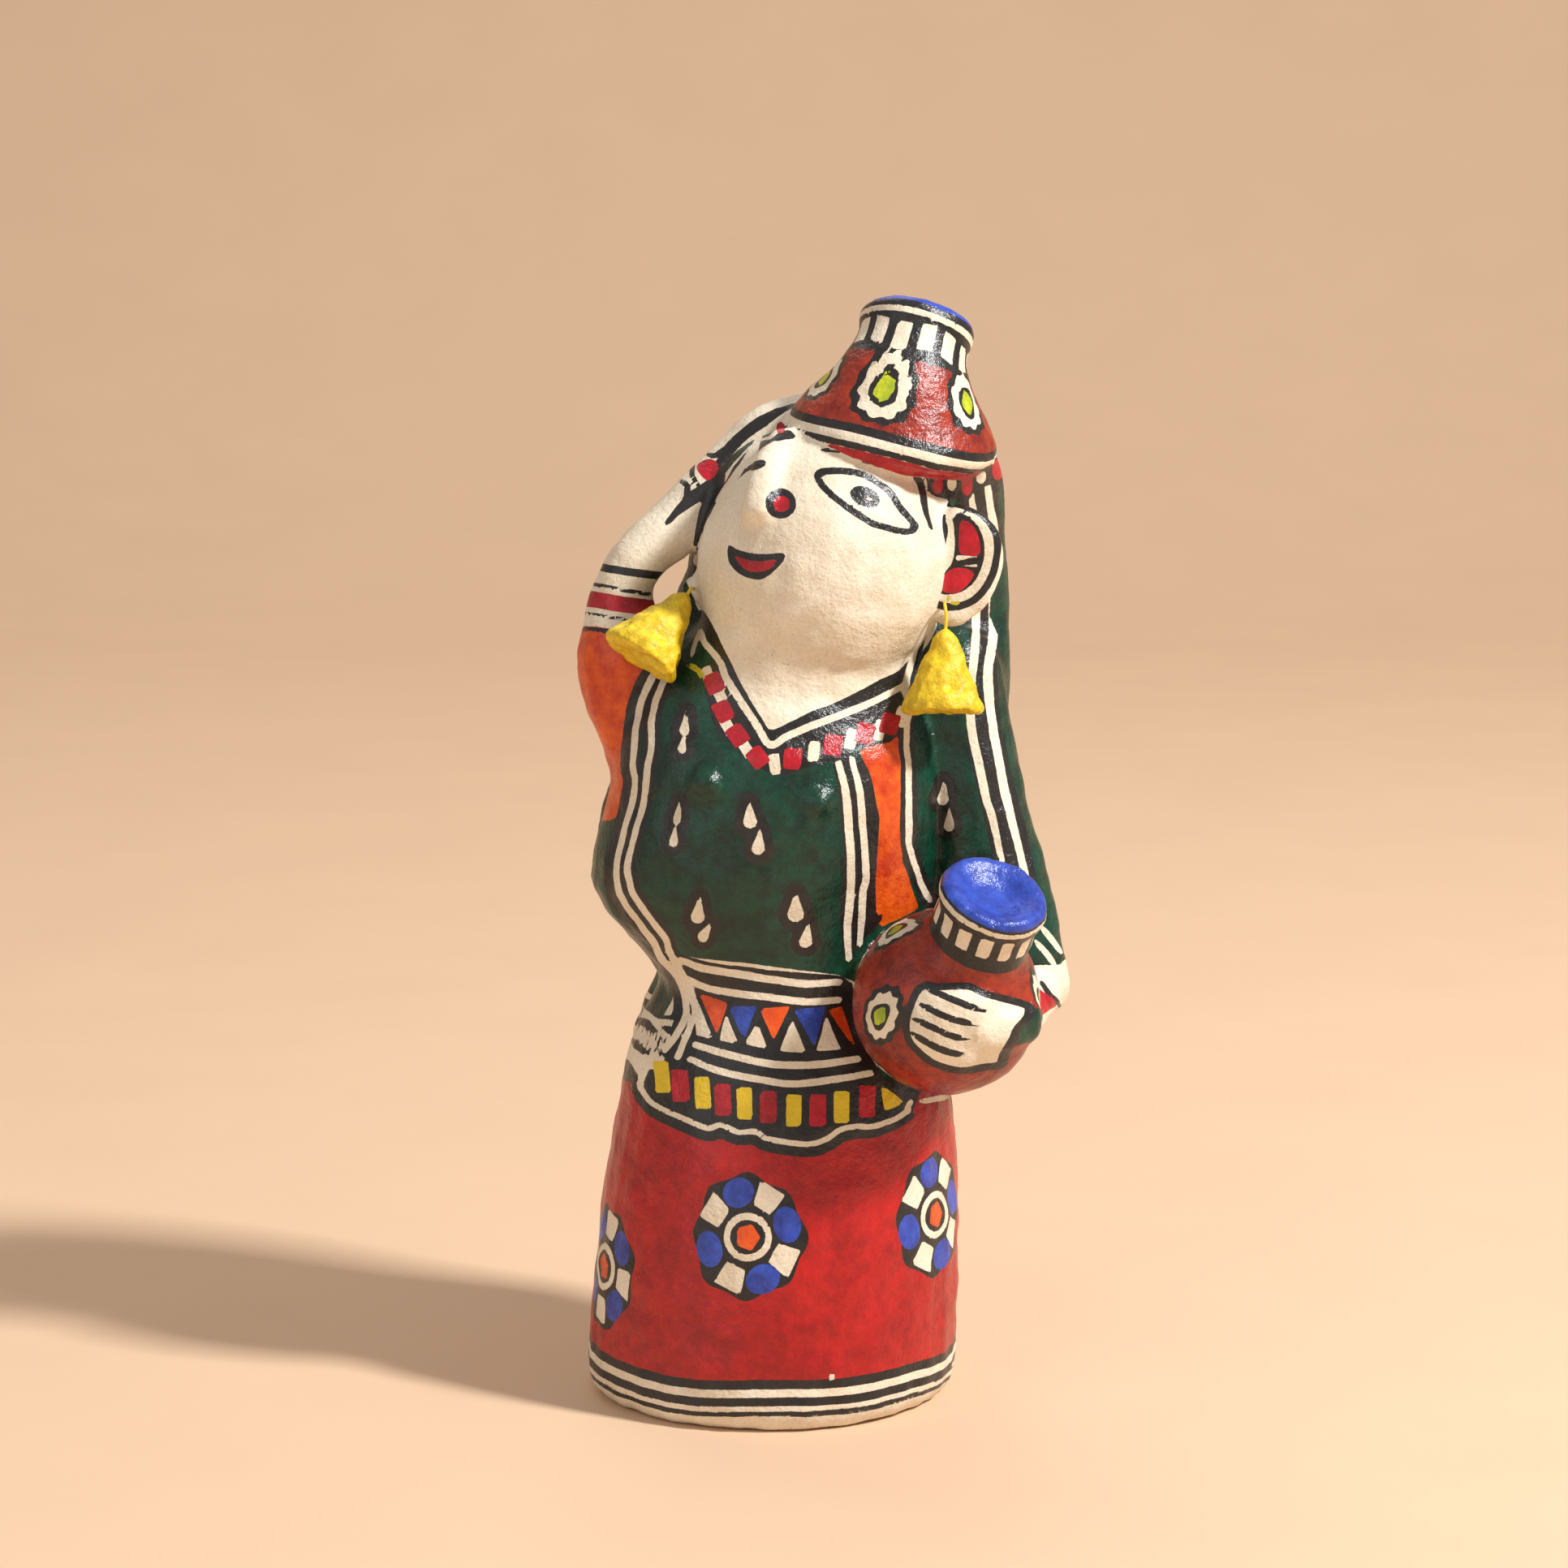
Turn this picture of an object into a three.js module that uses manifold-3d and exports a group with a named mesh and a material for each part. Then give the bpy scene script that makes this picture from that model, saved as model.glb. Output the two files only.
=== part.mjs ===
// A papier-mache water carrier: a standing woman in a long skirt and veil, one pot on her tilted head
// and a second pot held on her left hip. Millimetres, +Z up, her front towards -Y, the origin at the
// middle of the flat underside. The figure is moulded in one piece; two cone earrings hang on wire
// loops from her ears.
import * as THREE from "three";
import { mergeVertices } from "three/addons/utils/BufferGeometryUtils.js";
import Module from "manifold-3d";

const wasm = await Module();
wasm.setup();

// Driving dimensions
const HEIGHT = 300; // underside to the highest point of the head pot
const SKIRT_RADIUS = 50;
const HEAD = { centre: [14.2, -3, 228.7], half: [34, 32.5, 39], lean: 18 }; // lean in degrees, crown to her left
const HEAD_POT = {
  foot: [32.6, 1, 262.5],
  axis: [0.185, -0.11, 0.977], // of the foot
  neckAxis: [0.24, 0.46, 0.86], // the neck leans back
  bend: [9, 24], // heights between which the one turns into the other
  rim: 28.6,
  mouth: 15.9,
};
const HIP_POT = {
  foot: [46.2, -40, 116.5], // the middle of the belly
  axis: [0.36, -0.45, 0.82],
  neckAxis: [0.26, -0.45, 0.86],
  bend: [14, 26],
  belly: 25,
  mouth: 14.8,
};
const NEAR_EAR = [50, -10.5, 229.5]; // middle of the back face of the plate
const FAR_LOBE = [-20.6, -2, 221.3];
const EARRING = { height: 22, radius: 11, flatness: 0.85 };
const WIRE_RADIUS = 0.45;
const WIRE_HOLE_RADIUS = 0.85; // of the blind holes that the wire's ends sit in
const WIRE_HOLE_DEPTH = 4;

const v3 = (x, y, z) => new THREE.Vector3(x, y, z);

// ---------- closed bodies from rings of points ----------

// Joins rings of equal count, with a pole at each end, into one closed body.
function skin(rings, firstPole, lastPole) {
  const sides = rings[0].length;
  const points = [firstPole, ...rings.flat(), lastPole];
  const faces = [];
  const at = (ring, side) => 1 + ring * sides + (side % sides);
  for (let side = 0; side < sides; side++) {
    faces.push(0, at(0, side + 1), at(0, side));
    for (let ring = 0; ring < rings.length - 1; ring++) {
      faces.push(at(ring, side), at(ring, side + 1), at(ring + 1, side + 1));
      faces.push(at(ring, side), at(ring + 1, side + 1), at(ring + 1, side));
    }
    faces.push(points.length - 1, at(rings.length - 1, side), at(rings.length - 1, side + 1));
  }
  const body = new THREE.BufferGeometry().setFromPoints(points);
  body.setIndex(faces);
  return body;
}

// A body through level oval sections [z, left, right, front, back], smoothed between them.
function loft(sections, sides, levels) {
  const across = new THREE.CatmullRomCurve3(sections.map(([z, left, right]) => v3(left, right, z)));
  const deep = new THREE.CatmullRomCurve3(sections.map(([z, , , front, back]) => v3(front, back, z)));
  const rings = [];
  for (let level = 0; level <= levels; level++) {
    const { x: left, y: right, z } = across.getPoint(level / levels);
    const { x: front, y: back } = deep.getPoint(level / levels);
    const ring = [];
    for (let side = 0; side < sides; side++) {
      const turn = (side / sides) * 2 * Math.PI;
      const x = (left + right) / 2 + ((right - left) / 2) * Math.cos(turn);
      const y = (front + back) / 2 + ((back - front) / 2) * Math.sin(turn);
      ring.push(v3(x, y, z));
    }
    rings.push(ring);
  }
  const middle = (ring) => ring.reduce((sum, p) => sum.add(p), v3(0, 0, 0)).divideScalar(sides);
  return skin(rings, middle(rings[0]), middle(rings[levels]));
}

// A round-ended limb along stations [x, y, z, radius].
function limb(stations, sides, steps) {
  const path = new THREE.CatmullRomCurve3(stations.map(([x, y, z]) => v3(x, y, z)));
  const thickness = new THREE.CatmullRomCurve3(stations.map(([, , , r], i) => v3(i, r, 0)));
  const frames = path.computeFrenetFrames(steps);
  const rings = [];
  const ringAt = (step, shift, share) => {
    const r = thickness.getPoint(path.getUtoTmapping(step / steps)).y;
    const centre = path.getPointAt(step / steps).addScaledVector(frames.tangents[step], shift * r);
    const ring = [];
    for (let side = 0; side < sides; side++) {
      const turn = (side / sides) * 2 * Math.PI;
      const out = frames.normals[step]
        .clone()
        .multiplyScalar(Math.cos(turn))
        .addScaledVector(frames.binormals[step], Math.sin(turn));
      ring.push(centre.clone().addScaledVector(out, r * share));
    }
    rings.push(ring);
    return centre;
  };
  const pole = (step, sign) => {
    const r = thickness.getPoint(step / steps).y;
    return path.getPointAt(step / steps).addScaledVector(frames.tangents[step], sign * r);
  };
  ringAt(0, -0.87, 0.5);
  ringAt(0, -0.5, 0.87);
  for (let step = 0; step <= steps; step++) ringAt(step, 0, 1);
  ringAt(steps, 0.5, 0.87);
  ringAt(steps, 0.87, 0.5);
  return skin(rings, pole(0, -1), pole(steps, 1));
}

// A ball stretched to three half sizes, leant sideways and set in place.
function ball([x, y, z], [halfX, halfY, halfZ], lean = 0, sides = 24, levels = 16) {
  return new THREE.SphereGeometry(1, sides, levels)
    .rotateX(Math.PI / 2)
    .scale(halfX, halfY, halfZ)
    .rotateY(THREE.MathUtils.degToRad(lean))
    .translate(x, y, z);
}

// A body of round rings whose axis swings from one direction to another as it rises. The profile is
// [radius, height] pairs, the first and last on the axis.
function bent(profile, { foot, axis, neckAxis, bend }, sides) {
  const [low, high] = [axis, neckAxis].map((direction) => v3(...direction).normalize());
  const axisAt = (height) => low.clone().lerp(high, THREE.MathUtils.smoothstep(height, ...bend)).normalize();
  const centreAt = (height) => {
    const pieces = Math.ceil(Math.abs(height));
    const centre = v3(...foot);
    for (let piece = 0; piece < pieces; piece++) {
      centre.addScaledVector(axisAt((height * (piece + 0.5)) / pieces), height / pieces);
    }
    return centre;
  };
  const rings = profile.slice(1, -1).map(([radius, height]) => {
    const right = v3(0, 1, 0).cross(axisAt(height)).normalize();
    const back = axisAt(height).cross(right);
    return Array.from({ length: sides }, (_, side) => {
      const turn = (side / sides) * 2 * Math.PI;
      const out = right.clone().multiplyScalar(Math.cos(turn)).addScaledVector(back, Math.sin(turn));
      return centreAt(height).addScaledVector(out, radius);
    });
  });
  return skin(rings, centreAt(profile[0][1]), centreAt(profile.at(-1)[1]));
}

// ---------- solids ----------

function solid(geometry) {
  const bare = new THREE.BufferGeometry().setAttribute("position", geometry.getAttribute("position"));
  bare.setIndex(geometry.getIndex());
  const merged = mergeVertices(bare, 1e-4);
  return new wasm.Manifold(
    new wasm.Mesh({
      numProp: 3,
      vertProperties: new Float32Array(merged.getAttribute("position").array),
      triVerts: new Uint32Array(merged.getIndex().array),
    }),
  );
}

const joined = (geometries) => geometries.map(solid).reduce((whole, piece) => whole.add(piece));

function geometryOf(manifold) {
  const mesh = manifold.getMesh();
  const geometry = new THREE.BufferGeometry();
  geometry.setAttribute("position", new THREE.BufferAttribute(new Float32Array(mesh.vertProperties), 3));
  geometry.setIndex(new THREE.BufferAttribute(new Uint32Array(mesh.triVerts), 1));
  return geometry;
}

// ---------- the moulded figure ----------

// Skirt, waist, bodice and neck
function trunk() {
  const r = SKIRT_RADIUS;
  return loft(
    [
      [0, -r + 2.5, r - 3, -r + 3.5, r - 5],
      [3.5, -r - 0.8, r, -r + 0.6, r - 3],
      [22, -r + 0.2, r + 1, -r + 1.2, r - 3],
      [42, -r + 2, r + 1.5, -r + 2.2, r - 4],
      [63, -r + 5, r + 0.6, -r + 4.8, r - 6],
      [80, -41.8, 49.3, -42.5, 41],
      [95, -38.8, 45, -38.8, 38],
      [106, -34.5, 39, -35.5, 34],
      [115, -30.2, 36, -33.5, 32],
      [126, -38.5, 40, -34.5, 34],
      [139, -48.4, 44, -37, 36],
      [152, -48, 46, -38.5, 36],
      [166, -43.8, 46.5, -38, 35],
      [180, -42, 45.5, -35.5, 33],
      [193, -37, 43, -28.5, 30],
      [203, -27, 40, -28, 27],
      [213, -19.5, 39.5, -31, 24],
      [225, -17, 38, -32, 22],
    ],
    32,
    30,
  );
}

// The veil that falls from under the head pot, down her back and over her left arm
function veil() {
  return loft(
    [
      [88, -36, 40, 2, 38],
      [91, -39.5, 45, 0, 41],
      [104, -35.5, 41, 0, 38],
      [115, -31, 46, -6, 37],
      [126, -39, 62, -13, 37.5],
      [139, -48.4, 69, -15, 39],
      [152, -48.4, 68, -15, 38.5],
      [168, -44, 66.5, -15, 37.5],
      [185, -44, 64.8, -13, 37],
      [200, -40, 64.8, -8, 36.5],
      [215, -26, 65, 0, 36.5],
      [232, -22, 63.5, -6, 36.5],
      [246, -19, 63, -13, 35],
      [256, -12, 61, -19, 31.5],
      [262, -1, 57, -17, 27],
    ],
    24,
    20,
  );
}

const head = () => ball(HEAD.centre, HEAD.half, HEAD.lean, 28, 18);

// Low nose on the turned face, its tip down and to her right
function nose() {
  return limb(
    [
      [3, -11, 261, 5],
      [-0.6, -19.5, 253.5, 5.6],
      [-2.8, -25, 246, 5.4],
    ],
    12,
    6,
  );
}

// A standing ear of crescent outline, a flat plate with rounded edges
function nearEar() {
  const outline = new THREE.Shape();
  outline.moveTo(-7, -12);
  outline.bezierCurveTo(-9, -5, -1, 0, -3, 12);
  outline.bezierCurveTo(-2, 17, 6, 15, 9.5, 8);
  outline.bezierCurveTo(13, 0, 8, -10, 2, -14);
  outline.bezierCurveTo(-1, -17, -6, -16, -7, -12);
  const plate = new THREE.ExtrudeGeometry(outline, {
    depth: 4.6,
    bevelThickness: 1.1,
    bevelSize: 1.1,
    bevelSegments: 2,
    curveSegments: 5,
  });
  return plate.rotateX(Math.PI / 2).translate(...NEAR_EAR);
}

const earRoot = () => ball([43, -9, 230], [6, 6, 11], 0, 12, 10);
const farLobe = () => ball(FAR_LOBE, [3.6, 3.4, 4], 0, 12, 8);

// Raised right arm: bulging sleeve, elbow out to the side, forearm up behind the head pot
function raisedArm() {
  return limb(
    [
      [-29, 3, 168, 13.5],
      [-34, 3, 182, 13],
      [-38, 3.5, 195, 14.3],
      [-39.2, 4, 205, 13.8],
      [-40.6, 5, 214.8, 9.6],
      [-39.9, 5, 221.5, 7.9],
      [-36.6, 5, 227, 7.7],
      [-33, 6, 231.2, 7.8],
      [-26.9, 8, 235.9, 8.2],
      [-19.4, 10, 242.4, 8.6],
      [-9.5, 13, 251.3, 9],
      [-0.5, 14, 260.3, 8.8],
      [10, 13, 266, 7],
    ],
    14,
    26,
  );
}

// Left upper arm under the veil
function veiledArm() {
  return limb(
    [
      [48, 4, 197, 15],
      [50.5, 2, 180, 15],
      [54, 0, 162, 15.2],
      [60.5, -2, 140, 15],
      [66.5, -5, 124, 13],
      [71.2, -7, 114, 10],
    ],
    14,
    12,
  );
}

// Left forearm from the elbow, round the side of the hip pot
function forearm() {
  return limb(
    [
      [71.8, -7, 114, 9.2],
      [68.5, -19, 111.2, 7.4],
      [65, -32, 109, 7],
      [62, -44, 110, 7.2],
    ],
    12,
    8,
  );
}

// A point on the hip pot's belly, raised above it: turned round to her left and up, in degrees
function onHipPot(round, up, raise) {
  const [a, b] = [round, up].map(THREE.MathUtils.degToRad);
  const [x, y, z] = HIP_POT.foot;
  const r = HIP_POT.belly + raise;
  return [x + r * Math.cos(b) * Math.sin(a), y - r * Math.cos(b) * Math.cos(a), z + r * Math.sin(b)];
}

// Left hand laid flat round the pot: a low palm and four fingers that hardly stand proud of the belly
function leftHand() {
  const fingers = [0, 1, 2, 3].map((finger) => {
    const [tip, root] = [17.5 - 8.8 * finger, 6 - 10.7 * finger];
    const stations = [
      [...onHipPot(-15 - 2.3 * finger, tip, -1.6), 2.4],
      [...onHipPot(3 - 2.4 * finger, (tip + root) / 2, -1.7), 2.7],
      [...onHipPot(22 - 2.5 * finger, root, -1.7), 2.7],
    ];
    return limb(stations, 8, 5);
  });
  const palm = [
    [...onHipPot(24, -8, -7), 9],
    [...onHipPot(42, -9, -7), 9.4],
    [...onHipPot(60, -8, -5.4), 8.4],
  ];
  return [...fingers, limb(palm, 14, 6)];
}

// Both pots close in a shallow dished mouth
function headPot() {
  const { rim, mouth } = HEAD_POT;
  const toTop = (top) => {
    const profile = [
      [0, -5.5],
      [rim - 5.5, -4.6],
      [rim - 1.2, -2.6],
      [rim, 0],
      [rim - 1, 3],
      [rim - 3.9, 7.5],
      [rim - 7.6, 12.5],
      [rim - 11, 17.5],
      [mouth - 0.3, 21],
      [mouth - 0.8, 25],
      [mouth - 0.4, top - 5],
      [mouth, top - 2.6],
      [mouth - 0.8, top - 0.6],
      [mouth - 3, top + 0.8],
      [mouth - 5.6, top + 0.7],
      [mouth - 8.5, top - 1],
      [0, top - 1.8],
    ];
    return bent(profile, HEAD_POT, 26);
  };
  const trial = toTop(HEIGHT - HEAD_POT.foot[2]);
  trial.computeBoundingBox();
  const excess = trial.boundingBox.max.z - HEIGHT; // the neck is straight, so its height follows its length
  return toTop(HEIGHT - HEAD_POT.foot[2] - excess / v3(...HEAD_POT.neckAxis).normalize().z);
}

function hipPot() {
  const { belly, mouth } = HIP_POT;
  const profile = [];
  for (let step = 0; step <= 12; step++) {
    const turn = ((-90 + (step * 145) / 12) * Math.PI) / 180;
    profile.push([step ? belly * Math.cos(turn) : 0, belly * Math.sin(turn)]);
  }
  profile.push([mouth - 1.4, 23], [mouth - 1.2, 33], [mouth - 0.2, 35.6], [mouth, 38], [mouth - 1.8, 40.4]);
  profile.push([mouth - 4.6, 39.6], [mouth - 8.4, 37.4], [0, 36.6]);
  return bent(profile, HIP_POT, 26);
}

// The two small knobs of the bust
const BUST = {
  centres: [
    [-16.8, -32, 173.8],
    [12, -34.4, 169],
  ],
  half: [4.8, 5, 4.6],
};
const bust = () => BUST.centres.map((centre) => ball(centre, BUST.half, 0, 12, 8));

// ---------- earrings ----------

// Where each wire runs: out of the lobe, over its edge and down into the tip of the cone
const WIRES = {
  left: [
    [46, -13, 219.3],
    [46, -17, 219.4],
    [46.1, -19.3, 218.6],
    [46.3, -20, 216.4],
    [46.2, -20.2, 213.8],
    [46.1, -20.8, 210.6],
  ],
  right: [
    [-20.6, -3, 221.4],
    [-21, -5, 221.7],
    [-21.3, -6.8, 222],
    [-21.6, -9.3, 222.2],
    [-22.4, -11.2, 221.2],
    [-24, -12.4, 219.1],
  ],
};

// The straight last stretch of a wire, as its end and the direction that it leaves by
function wireEnd(side, last) {
  const points = WIRES[side].map((p) => v3(...p));
  if (last) points.reverse();
  return { end: points[0], out: points[1].clone().sub(points[0]).normalize() };
}

function wire(side) {
  const path = new THREE.CatmullRomCurve3(WIRES[side].map((p) => v3(...p)));
  const section = new THREE.Shape().absarc(0, 0, WIRE_RADIUS, 0, 2 * Math.PI);
  return new THREE.ExtrudeGeometry(section, { steps: 14, curveSegments: 4, extrudePath: path });
}

// The blind hole that one end of a wire sits in, open past the surface
function wireHole(side, last) {
  const { end, out } = wireEnd(side, last);
  const drill = new THREE.CylinderGeometry(WIRE_HOLE_RADIUS, WIRE_HOLE_RADIUS, 2 * WIRE_HOLE_DEPTH, 10);
  drill.translate(0, WIRE_HOLE_DEPTH - 0.6, 0);
  drill.applyQuaternion(new THREE.Quaternion().setFromUnitVectors(v3(0, 1, 0), out));
  return drill.translate(end.x, end.y, end.z);
}

// The way that each cone hangs
const HANG = { left: [-0.03, -0.2, -1], right: [-0.57, -0.4, -0.72] };

// A cone of paper pulp that widens like a bell from its tip to a blunt rim
function earring(side) {
  const { height, radius, flatness } = EARRING;
  const { end, out } = wireEnd(side, true);
  const tip = end.clone().addScaledVector(out, 2.6);
  const profile = [
    [0, 0],
    [1.7, 0.5],
    [2.3, 3],
    [radius * 0.36, height * 0.36],
    [radius * 0.62, height * 0.62],
    [radius * 0.88, height * 0.84],
    [radius, height * 0.94],
    [radius * 0.92, height],
    [radius * 0.5, height * 1.02],
    [0, height * 1.03],
  ].map(([r, h]) => new THREE.Vector2(r, -h));
  const turn = new THREE.Quaternion().setFromUnitVectors(v3(0, -1, 0), v3(...HANG[side]).normalize());
  const cone = new THREE.LatheGeometry(profile.reverse(), 16).scale(1, 1, flatness);
  return cone.applyQuaternion(turn).translate(tip.x, tip.y, tip.z);
}

const earringCut = (side) => geometryOf(solid(earring(side)).subtract(solid(wireHole(side, true))));

function figure() {
  const body = joined([
    trunk(),
    veil(),
    head(),
    nose(),
    nearEar(),
    earRoot(),
    farLobe(),
    raisedArm(),
    veiledArm(),
    forearm(),
    ...leftHand(),
    headPot(),
    hipPot(),
    ...bust(),
  ]);
  const holes = joined([wireHole("left", false), wireHole("right", false)]);
  return geometryOf(body.subtract(holes));
}

// ---------- scene ----------

const group = new THREE.Group();
const painted = new THREE.MeshStandardMaterial({ color: 0x0d4a30, roughness: 0.45, metalness: 0 });
const yellow = new THREE.MeshStandardMaterial({ color: 0xe6c010, roughness: 0.5, metalness: 0 });
const paintedWire = new THREE.MeshStandardMaterial({ color: 0xc9a818, roughness: 0.5, metalness: 0.2 });

function place(name, geometry, material) {
  const mesh = new THREE.Mesh(geometry, material);
  mesh.name = name;
  group.add(mesh);
}

place("figure", figure(), painted);
for (const side of ["left", "right"]) {
  place(`${side}_earring`, earringCut(side), yellow);
  place(`${side}_earring_wire`, wire(side), paintedWire);
}

export default group;
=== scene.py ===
import math

import bmesh
import bpy
import numpy as np
from mathutils import Matrix, Vector


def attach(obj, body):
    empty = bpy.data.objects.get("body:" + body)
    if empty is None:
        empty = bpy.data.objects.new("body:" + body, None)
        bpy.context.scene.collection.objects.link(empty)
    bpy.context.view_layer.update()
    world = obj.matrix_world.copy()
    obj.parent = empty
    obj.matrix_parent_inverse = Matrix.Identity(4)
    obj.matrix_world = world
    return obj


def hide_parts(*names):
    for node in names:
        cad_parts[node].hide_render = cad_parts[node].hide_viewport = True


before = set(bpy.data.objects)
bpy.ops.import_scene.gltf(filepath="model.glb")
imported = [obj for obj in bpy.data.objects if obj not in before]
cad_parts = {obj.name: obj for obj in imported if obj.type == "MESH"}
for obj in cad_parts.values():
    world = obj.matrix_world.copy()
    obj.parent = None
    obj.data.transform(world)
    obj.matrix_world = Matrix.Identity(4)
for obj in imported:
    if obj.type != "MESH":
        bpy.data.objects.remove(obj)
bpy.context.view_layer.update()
mm = 0.001
print("frame: " + ", ".join(sorted(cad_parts)))


# camera, light and floor

studio = {
    "lookAt": (0.0033, 0.0, 0.1675),
    "distance": 1.4,
    "lookDown": 10.5,  # degrees
    "lens": 118.7,
    "keyLight": {"at": (1.26, -0.62, 1.55), "size": 0.2, "watts": 52},
    "fillLight": {"at": (-1.4, -1.5, 0.9), "size": 1.8, "watts": 7},
    "rimLight": {"at": (-0.3, 1.2, 1.6), "size": 1.2, "watts": 7},
    "sky": (1.0, 0.95, 0.90),
    "skyStrength": 0.4,
    "floor": (0.72, 0.50, 0.33),
    "backdrop": {"width": 6, "front": -2.5, "bend": 1.3, "radius": 1.0, "height": 3.0, "steps": 24,
                 "under": 0.0003},
}


def makeBackdrop():
    # floor and wall in one sweep, with no line between them
    wanted = studio["backdrop"]
    side = [(wanted["front"], 0), (wanted["bend"], 0)]
    for step in range(1, wanted["steps"] + 1):
        turn = step / wanted["steps"] * math.pi / 2
        back = wanted["bend"] + wanted["radius"] * math.sin(turn)
        side.append((back, wanted["radius"] * (1 - math.cos(turn))))
    side.append((side[-1][0], wanted["height"]))
    half = wanted["width"] / 2
    mesh = bpy.data.meshes.new("studioFloor")
    points = [(x, y, z - wanted["under"]) for y, z in side for x in (-half, half)]
    faces = [(2 * i, 2 * i + 1, 2 * i + 3, 2 * i + 2) for i in range(len(side) - 1)]
    mesh.from_pydata(points, [], faces)
    floor = bpy.data.objects.new("studioFloor", mesh)
    bpy.context.scene.collection.objects.link(floor)
    useOnly(floor)
    bpy.ops.object.shade_smooth()
    return floor


def makeStudio():
    scene = bpy.context.scene
    middle = Vector(studio["lookAt"])
    tilt = math.radians(studio["lookDown"])
    away = Vector((0, -math.cos(tilt), math.sin(tilt)))
    bpy.ops.object.camera_add(location=middle + away * studio["distance"])
    camera = bpy.context.object
    camera.rotation_euler = (math.pi / 2 - tilt, 0, 0)
    camera.data.lens = studio["lens"]
    camera.data.sensor_width = 36
    scene.camera = camera
    for name in ("keyLight", "fillLight", "rimLight"):
        wanted = studio[name]
        bpy.ops.object.light_add(type="AREA", location=wanted["at"])
        light = bpy.context.object
        light.name = name
        light.data.size = wanted["size"]
        light.data.energy = wanted["watts"]
        light.rotation_euler = (middle - light.location).to_track_quat("-Z", "Y").to_euler()
    world = bpy.data.worlds.new("studioSky")
    world.use_nodes = True
    sky = world.node_tree.nodes["Background"]
    sky.inputs["Color"].default_value = (*studio["sky"], 1)
    sky.inputs["Strength"].default_value = studio["skyStrength"]
    scene.world = world
    scene.view_settings.view_transform = "Standard"
    return makeBackdrop()


# mesh helpers

def useOnly(piece):
    bpy.ops.object.select_all(action="DESELECT")
    piece.select_set(True)
    bpy.context.view_layer.objects.active = piece


def applyModifier(piece, kind, **settings):
    useOnly(piece)
    modifier = piece.modifiers.new(kind.lower(), kind)
    for key, value in settings.items():
        setattr(modifier, key, value)
    bpy.ops.object.modifier_apply(modifier=modifier.name)


def copyOfNode(nodeName, pieceName):
    piece = bpy.data.objects.new(pieceName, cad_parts[nodeName].data.copy())
    bpy.context.scene.collection.objects.link(piece)
    piece.data.materials.clear()
    mesh = bmesh.new()
    mesh.from_mesh(piece.data)
    bmesh.ops.remove_doubles(mesh, verts=mesh.verts, dist=1e-6)
    mesh.to_mesh(piece.data)
    mesh.free()
    return piece


def readPoints(piece, what="co"):
    values = np.empty(len(piece.data.vertices) * 3)
    piece.data.vertices.foreach_get(what, values)
    return values.reshape(-1, 3)


def writePoints(piece, points):
    piece.data.vertices.foreach_set("co", points.astype(np.float32).ravel())
    piece.data.update()


def easeFacets(piece, rounds):
    # each round draws every point towards its neighbours, then about as far back, so nothing shrinks
    edges = np.empty(len(piece.data.edges) * 2, np.int64)
    piece.data.edges.foreach_get("vertices", edges)
    a, b = edges.reshape(-1, 2).T
    points = readPoints(piece)
    count = len(points)
    neighbours = np.bincount(a, minlength=count) + np.bincount(b, minlength=count)
    for _ in range(rounds):
        for share in (0.6, -0.62):
            total = np.stack(
                [
                    np.bincount(a, points[b, axis], count) + np.bincount(b, points[a, axis], count)
                    for axis in range(3)
                ],
                1,
            )
            points += share * (total / neighbours[:, None] - points)
    writePoints(piece, points)


def press(piece, name, kind, grain, depth, **settings):
    # lumps and creases of the pulp, in millimetres
    texture = bpy.data.textures.new(name, kind)
    texture.noise_scale = grain * mm
    for key, value in settings.items():
        setattr(texture, key, value)
    applyModifier(piece, "DISPLACE", texture=texture, texture_coords="LOCAL",
                  strength=depth * mm, mid_level=0.5)


# the moulded figure: hand-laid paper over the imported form

mould = {
    "grid": 1.25,  # mm between points after the remesh
    "easing": 24,
    "lumps": (15, 1.1),  # size and depth in mm
    "dents": (6, 0.55),
    "wrinkles": (2.6, 0.22),
}


def makeFigure():
    figure = copyOfNode("figure", "painted_figure")
    applyModifier(figure, "REMESH", mode="VOXEL", voxel_size=mould["grid"] * mm)
    easeFacets(figure, mould["easing"])
    paintFigure(figure)
    press(figure, "lumps", "CLOUDS", *mould["lumps"], noise_depth=1)
    press(figure, "dents", "CLOUDS", *mould["dents"], noise_depth=0)
    press(figure, "wrinkles", "CLOUDS", *mould["wrinkles"], noise_depth=1)
    points = readPoints(figure)
    points[:, 2] = np.maximum(points[:, 2], 0)
    writePoints(figure, points)
    useOnly(figure)
    bpy.ops.object.shade_smooth()
    print(f"figure: {len(figure.data.vertices)} points, {len(figure.data.polygons)} faces")
    return figure


# the earrings: crumpled paper cones on bent wire

earrings = {
    "height": 22,
    "radius": 11,
    "tip": 1.8,
    "roundedBy": 1.4,
    "grid": 0.7,
    "easing": 4,
    "belling": 0.2,
    "flatness": 0.85,
    "folds": (5.5, 2.2),  # size and depth
    "creases": (2.2, 0.7),
    "wire": 0.45,  # radius
    "tipPastWire": 2.6,
    "left": {
        "wire": [(46, -13, 219.3), (46, -17, 219.4), (46.1, -19.3, 218.6), (46.3, -20, 216.4),
                 (46.2, -20.2, 213.8), (46.1, -20.8, 210.6)],
        "hang": (-0.03, -0.2, -1),
    },
    "right": {
        "wire": [(-20.6, -3, 221.4), (-21, -5, 221.7), (-21.3, -6.8, 222), (-21.6, -9.3, 222.2),
                 (-22.4, -11.2, 221.2), (-24, -12.4, 219.1)],
        "hang": (-0.57, -0.4, -0.72),
    },
}


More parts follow.
